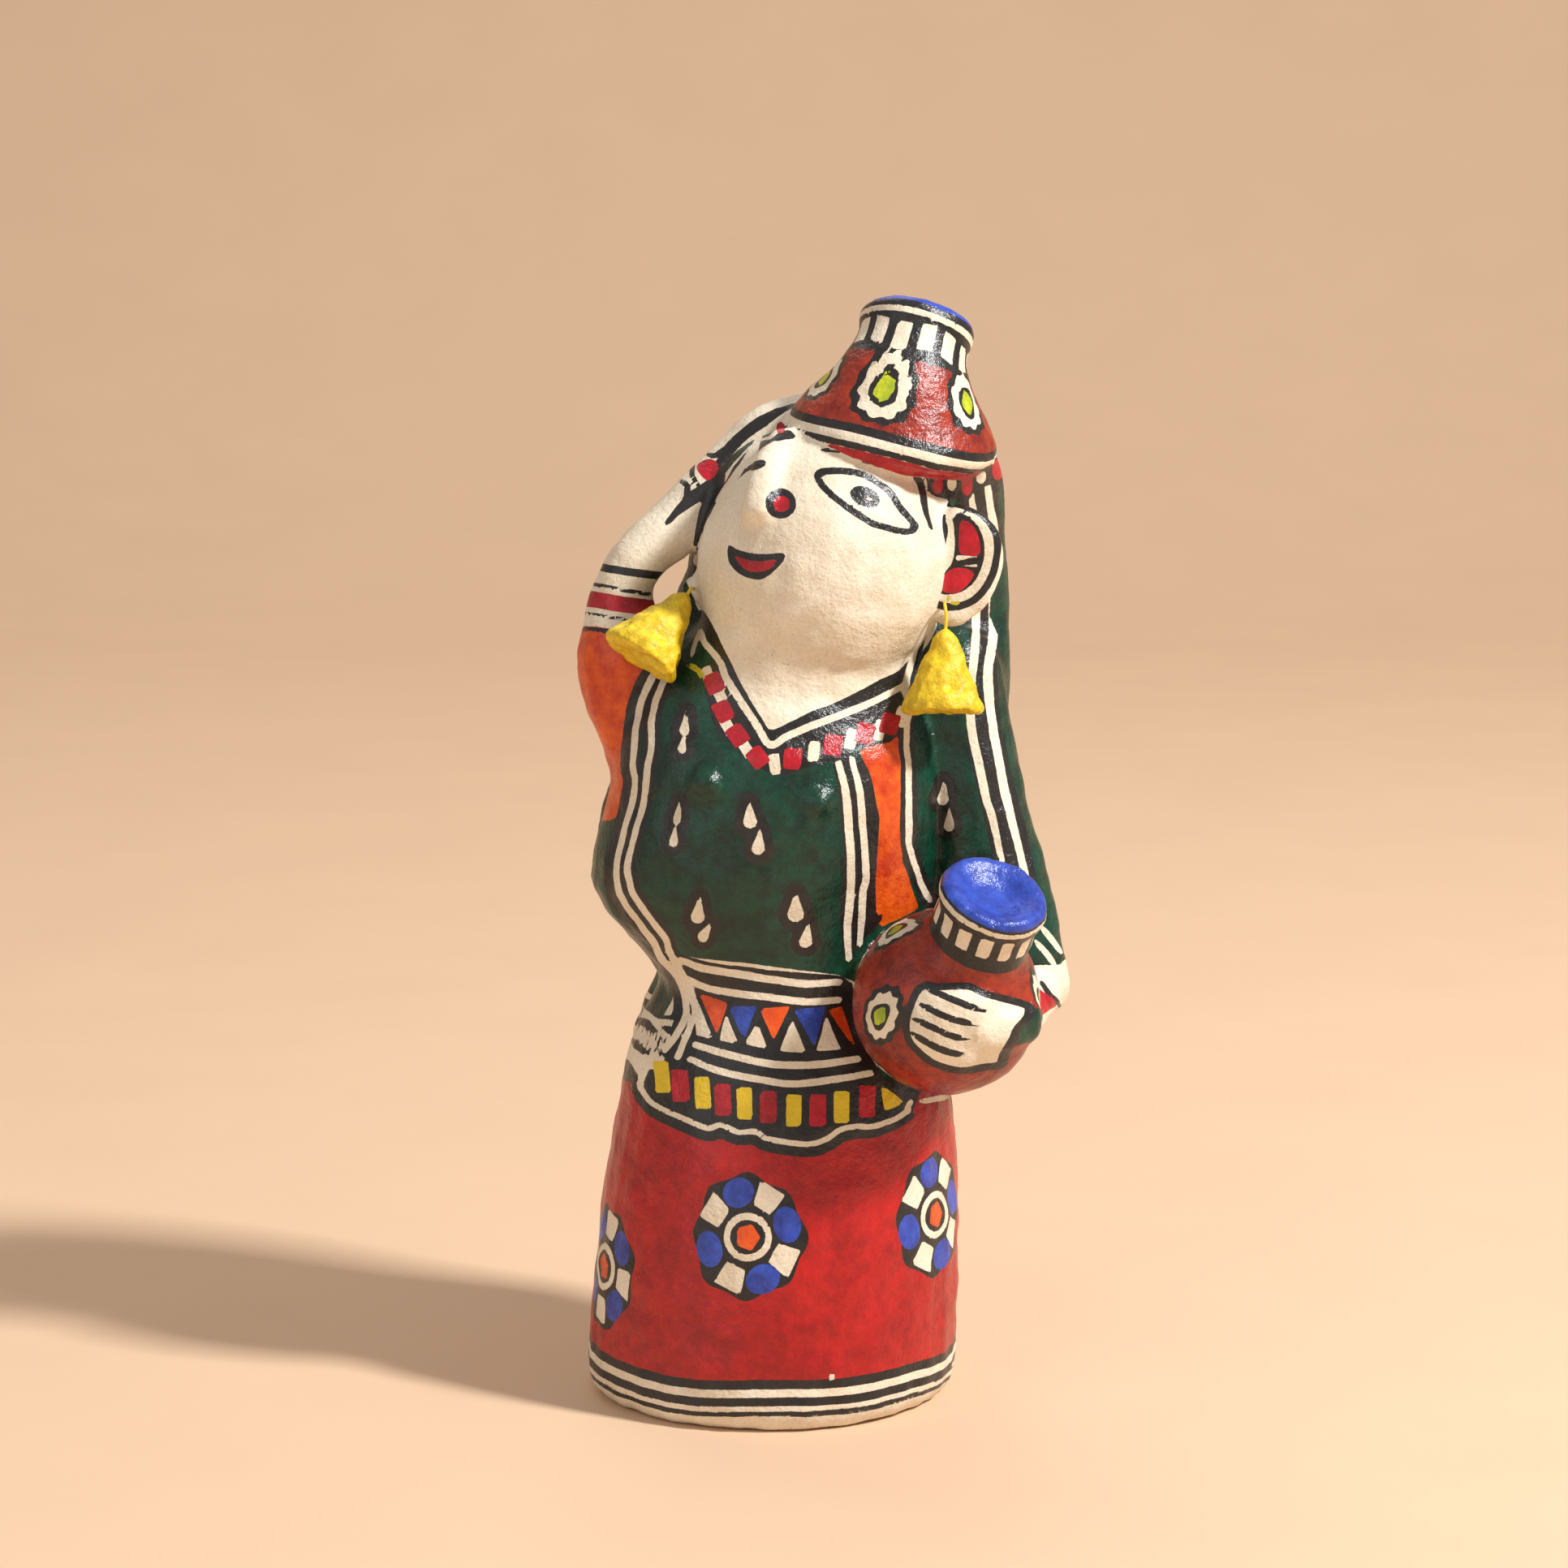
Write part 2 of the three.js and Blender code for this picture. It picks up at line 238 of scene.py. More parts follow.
def makeWire(side):
    # a bent wire, drawn as a curve through its points and given its thickness
    points = [Vector(p) * mm for p in earrings[side]["wire"]]
    curve = bpy.data.curves.new(side + "_wire_line", "CURVE")
    curve.dimensions = "3D"
    curve.bevel_depth = earrings["wire"] * mm
    curve.bevel_resolution = 4
    curve.use_fill_caps = True
    spline = curve.splines.new("BEZIER")
    spline.bezier_points.add(len(points) - 1)
    for knot, point in zip(spline.bezier_points, points):
        knot.co = point
        knot.handle_left_type = knot.handle_right_type = "AUTO"
    piece = bpy.data.objects.new(side + "_wire", curve)
    bpy.context.scene.collection.objects.link(piece)
    useOnly(piece)
    bpy.ops.object.convert(target="MESH")
    bpy.ops.object.shade_smooth()
    return piece


def makeCone(side):
    # a cone pinched out of paper pulp: narrow neck, dented sides, blunt crumpled rim
    wanted = earrings[side]
    height = earrings["height"]
    bpy.ops.object.select_all(action="DESELECT")
    bpy.ops.mesh.primitive_cone_add(vertices=40, radius1=earrings["radius"] * mm,
                                    radius2=earrings["tip"] * mm, depth=height * mm,
                                    location=(0, 0, -height / 2 * mm))
    piece = bpy.context.object
    piece.name = side + "_cone"
    bpy.ops.object.transform_apply(location=True)
    bpy.ops.object.mode_set(mode="EDIT")
    bpy.ops.mesh.select_all(action="SELECT")
    bpy.ops.mesh.bevel(offset=earrings["roundedBy"] * mm, segments=3, affect="EDGES")
    bpy.ops.object.mode_set(mode="OBJECT")
    applyModifier(piece, "REMESH", mode="VOXEL", voxel_size=earrings["grid"] * mm)
    easeFacets(piece, earrings["easing"])
    points = readPoints(piece) / mm
    down = -points[:, 2] / height
    bell = 1 + earrings["belling"] * np.sin(np.clip(down, 0, 1) * math.pi) * (down - 0.45)
    points[:, :2] *= bell[:, None]
    points[:, 1] *= earrings["flatness"]
    writePoints(piece, points * mm)
    press(piece, side + "_folds", "VORONOI", *earrings["folds"], distance_metric="DISTANCE")
    press(piece, side + "_creases", "CLOUDS", *earrings["creases"], noise_depth=1)
    end, before = Vector(wanted["wire"][-1]), Vector(wanted["wire"][-2])
    tip = end + (before - end).normalized() * earrings["tipPastWire"]
    turn = Vector((0, 0, -1)).rotation_difference(Vector(wanted["hang"]).normalized())
    piece.data.transform(turn.to_matrix().to_4x4())
    piece.data.transform(Matrix.Translation(tip * mm))
    useOnly(piece)
    bpy.ops.object.shade_smooth()
    print(f"{piece.name}: {len(piece.data.polygons)} faces")
    return piece


# the painted decoration. Each coat of paint is a field of distances in millimetres, below zero where
# the coat lies, kept on the points of the mesh; the material turns the fields into paint

coatOrder = ("green", "red", "rust", "orange", "black", "cream", "crimson", "blue", "yellow", "tangerine",
             "ink", "chalk", "bead", "heart", "smear")
coatReach = 3.0  # mm, the farthest that a field looks
painterEye = (3.3, -1376.6, 422.6)  # the drawing in front is laid out as seen from here


def curveThrough(points, closed=False, steps=5):
    # a smooth line through all the points
    knots = np.array(points, float)
    if len(knots) < 3:
        return knots
    if closed:
        knots = np.vstack((knots[-1:], knots, knots[:2]))
    else:
        knots = np.vstack((2 * knots[0] - knots[1], knots, 2 * knots[-1] - knots[-2]))
    share = np.linspace(0, 1, steps, endpoint=False)[:, None]
    line = []
    for a, b, c, d in zip(knots, knots[1:], knots[2:], knots[3:]):
        bend = (c - a) * share + (2 * a - 5 * b + 4 * c - d) * share**2 + (3 * b - a - 3 * c + d) * share**3
        line.append(b + 0.5 * bend)
    return np.vstack(line + [knots[-2:-1]])


def lineDistance(places, line):
    # how far each place is from a line of straight stretches, and how far along it the nearest point is
    lengths = np.linalg.norm(np.diff(line, axis=0), axis=1)
    begins = np.concatenate(([0], np.cumsum(lengths)))
    best = np.full(len(places), np.inf)
    along = np.zeros(len(places))
    for start, end, length, begin in zip(line, line[1:], lengths, begins):
        if length < 1e-9:
            continue
        step = end - start
        share = np.clip((places - start) @ step / length**2, 0, 1)
        distance = np.linalg.norm(places - start - share[:, None] * step, axis=1)
        closer = distance < best
        best[closer] = distance[closer]
        along[closer] = begin + share[closer] * length
    return best, along / begins[-1]


def isInside(places, outline):
    inside = np.zeros(len(places), bool)
    for (x0, y0), (x1, y1) in zip(outline, np.roll(outline, -1, 0)):
        if y0 == y1:
            continue
        spans = (y0 > places[:, 1]) != (y1 > places[:, 1])
        inside ^= spans & (places[:, 0] < x0 + (places[:, 1] - y0) / (y1 - y0) * (x1 - x0))
    return inside


def ovalDistance(offsets, half):
    # to an ellipse or an ellipsoid round the origin
    stretched = np.linalg.norm(offsets / half, axis=1)
    slope = np.linalg.norm(offsets / np.square(half), axis=1)
    return stretched * (stretched - 1) / np.maximum(slope, 1e-9)


class Easel:
    # a drawing area laid over part of the figure: each point has a place across and up on it, in mm,
    # and within is below zero on the part that may be painted
    def __init__(self, coats, across, up, within):
        self.coats = coats
        self.place = np.stack((across, up), 1)
        self.within = within

    def near(self, outline, reach):
        low, high = outline.min(0) - reach, outline.max(0) + reach
        close = (self.place > low).all(1) & (self.place < high).all(1)
        return np.flatnonzero(close & (self.within < coatReach))

    def lay(self, coat, chosen, distance):
        field = self.coats[coat]
        field[chosen] = np.minimum(field[chosen], np.maximum(distance, self.within[chosen]))

    def spare(self, coat, chosen, distance):
        field = self.coats[coat]
        field[chosen] = np.maximum(field[chosen], -np.maximum(distance, self.within[chosen]))

    def stroke(self, coat, points, width=1.8, ends=0.6, closed=False):
        line = curveThrough(points, closed)
        chosen = self.near(line, width / 2 + coatReach)
        distance, along = lineDistance(self.place[chosen], line)
        if closed:
            ends = 1
        swell = ends + (1 - ends) * np.minimum(1, 5 * np.minimum(along, 1 - along))
        self.lay(coat, chosen, distance - width / 2 * swell)

    def edge(self, points, smooth):
        outline = curveThrough(points, True) if smooth else np.array(list(points) + [points[0]], float)
        chosen = self.near(outline, coatReach)
        distance = lineDistance(self.place[chosen], outline)[0]
        inside = isInside(self.place[chosen], outline[:-1])
        return chosen, np.where(inside, -distance, distance)

    def area(self, coat, points, smooth=False, grow=0):
        chosen, distance = self.edge(points, smooth)
        self.lay(coat, chosen, distance - grow)

    def leaveOut(self, coat, points):
        self.spare(coat, *self.edge(points, False))

    def spot(self, coat, centre, half, turn=0):
        c, s = math.cos(math.radians(turn)), math.sin(math.radians(turn))
        corners = np.array([centre]) + np.array([[-1, -1], [1, 1]]) * max(half)
        chosen = self.near(corners, coatReach)
        offsets = (self.place[chosen] - centre) @ np.array([[c, -s], [s, c]])
        self.lay(coat, chosen, ovalDistance(offsets, np.array(half, float)))

    def drop(self, centre, lean=12, size=1.0, slim=1.0):
        # a cream seed, pointed above and round below, set in black
        tilt = math.radians(lean)
        up = np.array([math.sin(-tilt), math.cos(tilt)])
        tip = np.array(centre) + up * 2.6 * size
        heel = np.array(centre) - up * 1.4 * size
        line = np.stack((tip, heel))
        chosen = self.near(line, 6)
        distance, along = lineDistance(self.place[chosen], line)
        body = distance - (0.25 + 1.15 * along) * size * slim
        self.lay("black", chosen, body - 2.0 * size)
        self.lay("cream", chosen, body)


def capsule(points, stations):
    # to a limb through stations (x, y, z, radius)
    best = np.full(len(points), np.inf)
    for a, b in zip(np.array(stations, float), np.array(stations[1:], float)):
        step = b[:3] - a[:3]
        share = np.clip((points - a[:3]) @ step / (step @ step), 0, 1)
        distance = np.linalg.norm(points - a[:3] - share[:, None] * step, axis=1)
        best = np.minimum(best, distance - a[3] - share * (b[3] - a[3]))
    return best


def potPlaces(points, pot):
    # angle round a pot from her front towards her left, distance from its bent axis, height along it
    low, high = Vector(pot["axis"]).normalized(), Vector(pot["neckAxis"]).normalized()
    begin, end = pot["bend"]

    def axisAt(height):
        share = min(max((height - begin) / (end - begin), 0), 1)
        return np.array(low.lerp(high, share * share * (3 - 2 * share)).normalized())

    heights = np.arange(-30, 46)
    centres = {0: np.array(pot["foot"], float)}
    for height in range(1, 46):
        centres[height] = centres[height - 1] + axisAt(height - 0.5)
    for height in range(-1, -31, -1):
        centres[height] = centres[height + 1] - axisAt(height + 0.5)
    line = np.array([centres[height] for height in heights])
    axes = np.array([axisAt(height) for height in heights])
    nearest = np.zeros(len(points), int)
    best = np.full(len(points), np.inf)
    for index, centre in enumerate(line):
        distance = np.linalg.norm(points - centre, axis=1)
        closer = distance < best
        best[closer] = distance[closer]
        nearest[closer] = index
    axis = axes[nearest]
    offset = points - line[nearest]
    rise = (offset * axis).sum(1)
    offset -= axis * rise[:, None]
    front = np.array([0, -1, 0]) + axis * axis[:, 1:2]
    front /= np.linalg.norm(front, axis=1)[:, None]
    side = np.cross(axis, front)
    angle = np.arctan2((offset * side).sum(1), (offset * front).sum(1))
    return angle, np.linalg.norm(offset, axis=1), heights[nearest] + rise


def profileDistance(radius, height, profile):
    outline = np.array([(-r, h) for r, h in reversed(profile)] + list(profile), float)
    places = np.stack((radius, height), 1)
    distance = lineDistance(places, np.vstack((outline, outline[:1])))[0]
    return np.where(isInside(places, outline), -distance, distance)


# the forms that the paint has to know, in mm

form = {
    "head": {"centre": (14.2, -3, 228.7), "half": (34, 32.5, 39), "lean": 18},
    "nose": [(3, -11, 261, 5), (-0.6, -19.5, 253.5, 5.6), (-2.8, -25, 246, 5.4)],
    "ear": {"at": (50, 229.5), "depths": (-16.2, -9.4), "padding": 1.1,
            "outline": [(-7, -12), (-6.8, -6), (-3.8, 0), (-2.8, 6), (-3, 12), (-1, 14.8), (3.6, 14),
                        (9.5, 8), (11, 1.5), (9.5, -6), (6, -11), (2, -14), (-2, -15.4), (-5.8, -14.8)]},
    "raisedArm": [(-29, 3, 168, 13.5), (-34, 3, 182, 13), (-38, 3.5, 195, 14.3), (-39.2, 4, 205, 13.8),
                  (-40.6, 5, 214.8, 9.6), (-39.9, 5, 221.5, 7.9), (-33, 6, 231.2, 7.8),
                  (-19.4, 10, 242.4, 8.6), (-9.5, 13, 251.3, 9), (-0.5, 14, 260.3, 8.8), (10, 13, 266, 7)],
    "forearm": [(71.8, -7, 114, 9.2), (68.5, -19, 111.2, 7.4), (65, -32, 109, 7), (62, -44, 110, 7.2)],
    "headPot": {"foot": (32.6, 1, 262.5), "axis": (0.185, -0.11, 0.977), "neckAxis": (0.24, 0.46, 0.86),
                "bend": (9, 24),
                "profile": [(23, -4.6), (28.6, 0), (27.6, 3), (21, 12.5), (15.6, 21), (15.1, 25), (15.6, 28),
                            (15.5, 32), (12, 34)]},
    "hipPot": {"foot": (46.2, -40, 116.5), "axis": (0.36, -0.45, 0.82), "neckAxis": (0.26, -0.45, 0.86),
               "bend": (14, 26), "belly": 25,
               "neck": [(13.4, 10), (13.4, 23), (13.6, 33), (14.8, 38), (12, 40)]},
}


def partFields(points):
    # distances to the forms, so that every part gets its own paint
    head = form["head"]
    lean = math.radians(head["lean"])
    offsets = points - np.array(head["centre"])
    turned = np.stack((offsets[:, 0] * math.cos(lean) - offsets[:, 2] * math.sin(lean), offsets[:, 1],
                       offsets[:, 0] * math.sin(lean) + offsets[:, 2] * math.cos(lean)), 1)
    face = ovalDistance(turned, np.array(head["half"]))
    fields = {"head": np.minimum(face, capsule(points, form["nose"]))}
    ear = form["ear"]
    outline = curveThrough(ear["outline"], True) + np.array(ear["at"])
    places = points[:, [0, 2]]
    flat = lineDistance(places, outline)[0]
    flat = np.where(isInside(places, outline[:-1]), -flat, flat) - ear["padding"]
    near, far = ear["depths"]
    fields["ear"] = np.maximum(flat, np.abs(points[:, 1] - (near + far) / 2) - (far - near) / 2)
    fields["raisedArm"] = capsule(points, form["raisedArm"])
    fields["forearm"] = capsule(points, form["forearm"])
    headPot = potPlaces(points, form["headPot"])
    fields["headPot"] = profileDistance(headPot[1], headPot[2], form["headPot"]["profile"])
    hipPot = potPlaces(points, form["hipPot"])
    ball = np.linalg.norm(points - np.array(form["hipPot"]["foot"]), axis=1) - form["hipPot"]["belly"]
    neck = profileDistance(hipPot[1], hipPot[2], form["hipPot"]["neck"])
    fields["hipPot"] = np.minimum(ball, neck)
    return fields, headPot, hipPot


# what is painted where. Numbers are mm: across and up on the drawing, width

skirt = {
    "turnRadius": 50,  # mm round the skirt to one radian
    "top": 90,
    "redFrom": 12.5,
    "baseLines": ((14.3, 11.7), (9.5, 7.1), (5.6, 4.1)),  # upper and lower edge
    # degrees round, height, spin
    "flowers": ((-70, 37, 20), (-8, 53.3, 0), (62, 53.5, -8), (134, 50, 12), (-154, 47, 30)),
}
hem = {  # of the veil, round her sides and back: stripe, ticks, stripe
    "black": (98.2, 8.6),  # middle and half width
    "upperStripe": (105, 0.8),
    "lowerStripe": (94.3, 1.7),
    "ticks": (100.2, 2.0),
    "tickStep": 2.7,
    "tickHalf": 0.75,
}


def paintSkirt(coats, points, rest):
    turn = np.arctan2(points[:, 0], -points[:, 1])
    around, height = turn * skirt["turnRadius"], points[:, 2]
    waver = 0.45 * np.sin(3 * turn + 0.6) + 0.3 * np.sin(7 * turn + 2)
    easel = Easel(coats, around, height, np.maximum(rest, height - 110))
    everywhere = np.arange(len(points))
    bands = height - waver
    easel.lay("red", everywhere, np.maximum(skirt["redFrom"] - bands, height - skirt["top"]))
    for top, bottom in skirt["baseLines"]:
        easel.lay("black", everywhere, np.abs(bands - (top + bottom) / 2) - (top - bottom) / 2)
    easel.spot("chalk", (16.6, 14.9), (0.8, 1.2))
    for degrees, up, spin in skirt["flowers"]:
        paintFlower(easel, (math.radians(degrees) * skirt["turnRadius"], up), spin)
    behind = np.maximum(50 - np.abs(np.degrees(turn)), 88 - height) * 0.8
    easel = Easel(coats, around, height, np.maximum(rest, behind))
    wave = height - 0.8 * np.sin(5 * turn) - 0.4 * np.sin(13 * turn)
    for coat, (middle, half) in (("black", hem["black"]), ("cream", hem["upperStripe"]),
                                 ("cream", hem["lowerStripe"])):
        easel.lay(coat, everywhere, np.abs(wave - middle) - half)
    middle, half = hem["ticks"]
    tick = np.abs((around / hem["tickStep"]) % 1 - 0.5) * hem["tickStep"] - hem["tickHalf"]
    easel.lay("cream", everywhere, np.maximum(tick, np.abs(wave - middle) - half))


flower = {
    "radius": 16.5,
    "petals": ((105, "blue"), (61, "cream"), (17, "blue"), (-28, "cream"), (-68, "blue"), (-112, "cream"),
               (-161, "blue"), (148, "cream")),
    "bluePetal": (12, 4.0, 4.9),  # how far out, half sizes
    "creamPetal": (11.8, 3.4, 1.3),
    "flare": 0.19,
    "ring": (5.8, 0.95),
    "heart": 3.3,
}


def paintFlower(easel, centre, spin):
    chosen = easel.near(np.array([centre]), 22)
    offsets = easel.place[chosen] - centre
    radius = np.linalg.norm(offsets, axis=1)
    angle = np.arctan2(offsets[:, 1], offsets[:, 0]) - math.radians(spin)
    easel.lay("black", chosen, radius - flower["radius"] - 0.7 * np.cos(8 * angle) - 0.4 * np.cos(3 * angle))
    for degrees, coat in flower["petals"]:
        turn = math.radians(degrees + spin)
        out = offsets @ np.array([math.cos(turn), math.sin(turn)])
        aside = offsets @ np.array([-math.sin(turn), math.cos(turn)])
        if coat == "blue":
            middle, long, wide = flower["bluePetal"]
            petal = ovalDistance(np.stack((out - middle, aside), 1), np.array([long, wide]))
        else:
            middle, long, wide = flower["creamPetal"]
            petal = np.maximum(np.abs(out - middle) - long, np.abs(aside) - wide - flower["flare"] * out)
        easel.lay(coat, chosen, petal)
    middle, half = flower["ring"]
    easel.lay("cream", chosen, np.abs(radius - middle - 0.3 * np.cos(2 * angle)) - half)
    easel.lay("tangerine", chosen, radius - flower["heart"] - 0.3 * np.cos(5 * angle))


def paintWaist(front):
    # two cream lines, a row of triangles, a row of bars and a scalloped edge
    front.leaveOut("green", [(-25.5, 120), (18, 114.5), (24, 112), (30, 82), (42, 80), (38, 72), (5, 63),
                             (-30, 72), (-37, 84), (-33, 96), (-27, 108)])
    front.area("black", [(-26, 120.5), (-14, 117.5), (0, 115.8), (19, 114.3), (22, 112), (24, 98),
                         (30, 86), (41, 82), (38.5, 76.5), (33.5, 74), (18.5, 71), (5, 67.5),
                         (-9.5, 70.5), (-27.5, 75.5), (-34.5, 80.5), (-36, 86), (-31, 94), (-24, 112)])
    scallops = [(-32, 92), (-35, 86.5), (-36, 83.5), (-34.5, 80.5), (-31, 77.5), (-22.5, 73.5),
                (-17.5, 71.5), (-14, 72.5), (-9.5, 70.5), (-4.5, 70.5), (-1, 68.5), (9.5, 67), (15, 68.5),
                (18.5, 71), (23, 72), (27.5, 72), (33.5, 74), (37.5, 76.5)]
    front.stroke("black", [(x, z - 1) for x, z in scallops], 5.4)
    front.stroke("cream", scallops, 1.6, ends=1)
    stripes = (([(-25, 118.5), (-20, 117), (-14, 115.5), (-2, 113.5), (9.5, 112), (18.5, 112.5)], 2.1),
               ([(-23.5, 113.5), (-19, 111.5), (-14, 110), (-2, 108.5), (9.5, 107), (18.5, 107.5)], 2.0),
               ([(-21, 95), (-11, 92), (0.5, 89.5), (12.5, 89.5), (23.5, 91)], 2.1),
               ([(-22.5, 91), (-14, 87.5), (-2, 85), (6.5, 84), (18.5, 85.5), (27, 87)], 2.0))
    for points, width in stripes:
        front.stroke("cream", points, width, ends=0.9)
    teeth = ((-19.5, 109, -12.5, 106.5, -15, 98.5, "tangerine"),
             (-11.5, 105.5, -4.5, 105.5, -7.5, 97, "blue"), (-3, 105, 4.5, 105.5, 0.5, 97, "tangerine"),
             (6.5, 104.5, 14.5, 105.5, 11.5, 95, "blue"),
             (16, 104.5, 19, 105.5, 22.5, 95, "tangerine"), (-20.5, 107, -20.5, 98, -16.5, 97, "cream"),
             (-12.5, 103, -14, 96.5, -9.5, 95.5, "cream"), (-4, 100.5, -7, 95.5, -1.5, 94, "cream"),
             (5.5, 101.5, 2.5, 93.5, 9, 93, "cream"), (15, 102.5, 12.5, 93.5, 18.5, 94, "cream"))
    for x0, z0, x1, z1, x2, z2, coat in teeth:
        front.area(coat, [(x0, z0), (x1, z1), (x2, z2)], grow=0.3)
    bars = ((-30, 86, "yellow"), (-25, 83.5, "crimson"), (-19, 81.5, "yellow"), (-13.5, 79.5, "crimson"),
            (-7.5, 78.5, "yellow"), (-1, 77.5, "crimson"), (6, 76.5, "yellow"), (12.5, 76.5, "crimson"),
            (19, 77.5, "yellow"), (26, 79, "crimson"))
    for x, z, coat in bars:
        lean = 0.16 * max(-x, 0) / 10 - 0.04
        half = 2.1 if coat == "crimson" else 1.9
        corners = [(x - half - lean, z + 4.3), (x + half - lean, z + 4.3), (x + half + lean, z - 4.3),
                   (x - half + lean, z - 4.3)]
        front.area(coat, corners, grow=0.2)
    front.area("yellow", [(30, 83.5), (36, 78.8), (31, 76.5)], grow=0.2)
    front.stroke("cream", [(40.6, 79), (48.4, 80.4)], 1.6)
    front.stroke("cream", [(38.4, 79.4), (36.8, 76.4)], 1.4)


# edge of the veil down her right side, outer and inner line
sideLine = [(-29, 202), (-33, 195.5), (-35.5, 189.5), (-36.5, 184), (-37.5, 172.5), (-37, 168.5),
            (-38, 162), (-41, 152), (-42, 146.5), (-42, 140), (-40, 134.5), (-33, 124.5), (-30.5, 120),
            (-24.5, 112), (-23.5, 104), (-26, 98), (-29.5, 93.5)]
sideInner = [(-27.5, 202), (-29, 196.5), (-31.5, 190), (-32.5, 184), (-32.5, 178), (-33.5, 172.5),
             (-34, 166.5), (-35.5, 159), (-39, 146.5), (-38.5, 141), (-37, 136), (-29.5, 125), (-28, 121),
             (-22.5, 111), (-21, 104.5), (-22, 101), (-26, 91.5)]


def paintVeilFront(front):
    # orange sleeve of the raised arm, its lower end under the veil
    front.area("orange", [(-60, 211), (-47, 210.6), (-36, 208.6), (-27, 204.5), (-32, 198), (-36, 189),
                          (-38, 180), (-38.5, 168), (-40, 160), (-44, 157.5), (-60, 157)])
    front.stroke("black", [(x - 0.9, z) for x, z in sideLine], 5.0, ends=1)
    front.stroke("black", sideInner, 4.6, ends=1)
    front.stroke("cream", sideLine, 1.8, ends=1)
    front.stroke("cream", sideInner, 1.8, ends=1)
    # hem of the veil at her right hip
    front.area("black", [(-36, 107), (-30, 99), (-29, 94), (-36, 84), (-44, 86), (-44, 103)])
    front.stroke("cream", [(-40, 105.5), (-35, 104.5), (-32, 101), (-29, 97.5)], 1.4, ends=1)
    for tick in range(9):
        x, z = -39 + 0.95 * tick, 100.6 - 0.75 * tick - 0.03 * tick**2
        front.stroke("cream", [(x + 0.5, z + 1.6), (x - 0.6, z - 1.6)], 0.8, ends=1)
    front.stroke("cream", [(-42, 96.5), (-39.5, 95.5), (-38, 91.5), (-35.5, 87)], 2.2, ends=1)
    # her bodice's double stripe and the orange strip
    front.area("black", [(16, 176), (21, 176), (26, 172), (30, 160), (30, 130), (20, 118), (18.5, 128),
                         (19.5, 150), (18.5, 163)])
    front.area("orange", [(23.5, 176.5), (25.5, 172.5), (28.5, 157.5), (27, 131), (30, 128), (40, 133),
                          (35.5, 146.5), (35, 155), (35.5, 163.5), (35.5, 183), (32, 180)])
    front.leaveOut("black", [(25.2, 176), (27.4, 168), (29.2, 158), (28.4, 141), (28.4, 131), (38, 134),
                             (36.6, 141), (34.6, 146.5), (34.2, 155), (34.6, 178)])
    front.stroke("cream", [(18, 173.5), (20.5, 161.5), (21.5, 139.5), (20.5, 128), (21, 119)], 2.2, ends=0.8)
    front.stroke("cream", [(21.5, 174.5), (24, 164), (25.5, 142.5), (24.8, 137.5), (24, 123)], 2.0, ends=0.8)
    # front edge of the veil over her left shoulder
    veilEdge = [(39.5, 208.5), (38, 202), (36, 194), (37, 189), (36.5, 183.5), (36.5, 177), (37, 172),
                (37, 154.5), (37.5, 149.5), (41, 139.5), (43, 135.5)]
    front.stroke("black", veilEdge, 4.4, ends=1)
    front.stroke("cream", veilEdge, 1.7, ends=1)
    # black band and double stripe down her left side of the veil
    front.area("black", [(50, 250), (52.5, 236), (53.2, 209), (52.3, 187.5), (53.5, 175), (60.5, 146),
                         (72, 140), (68.5, 157.5), (64.5, 170.5), (61.8, 183.5), (60.8, 194.5), (62, 228),
                         (60.5, 250)])
    front.stroke("cream", [(53.5, 247), (54.5, 236), (55, 209), (53.5, 187.5), (56.5, 170.5), (58, 163.5),
                           (60, 157.5), (62.5, 146)], 2.3, ends=0.7)
    front.stroke("cream", [(58, 249), (60, 235.5), (61, 228), (59.7, 220), (59.7, 209), (58.4, 194),
                           (62, 170.5), (69, 142)], 2.5, ends=0.7)
    front.stroke("cream", [(71.8, 124), (74, 121.5), (77.4, 117.2)], 1.6)
    front.stroke("cream", [(73.4, 128), (76, 124.6), (79, 120.6)], 1.6)
    # seeds
    for centre, lean, size, slim in (((-23.5, 184), -8, 1.3, 0.75), ((-24, 178.5), -8, 1.1, 0.75),
                                     ((-25.5, 159.5), -8, 1.25, 0.7), ((-26.5, 153), -6, 1.15, 0.8),
                                     ((-6, 159), 4, 1.35, 1.0), ((-3.5, 151.5), -6, 1.3, 1.0),
                                     ((-20, 132.5), -6, 1.3, 1.05), ((-18, 126.5), -30, 1.05, 1.05),
                                     ((6.5, 133.5), 0, 1.4, 1.15), ((9.5, 125.5), -10, 1.2, 1.1),
                                     ((46.5, 165), -4, 1.3, 0.85), ((48, 157.5), 0, 1.15, 0.95)):
        front.drop(centre, lean, size, slim)


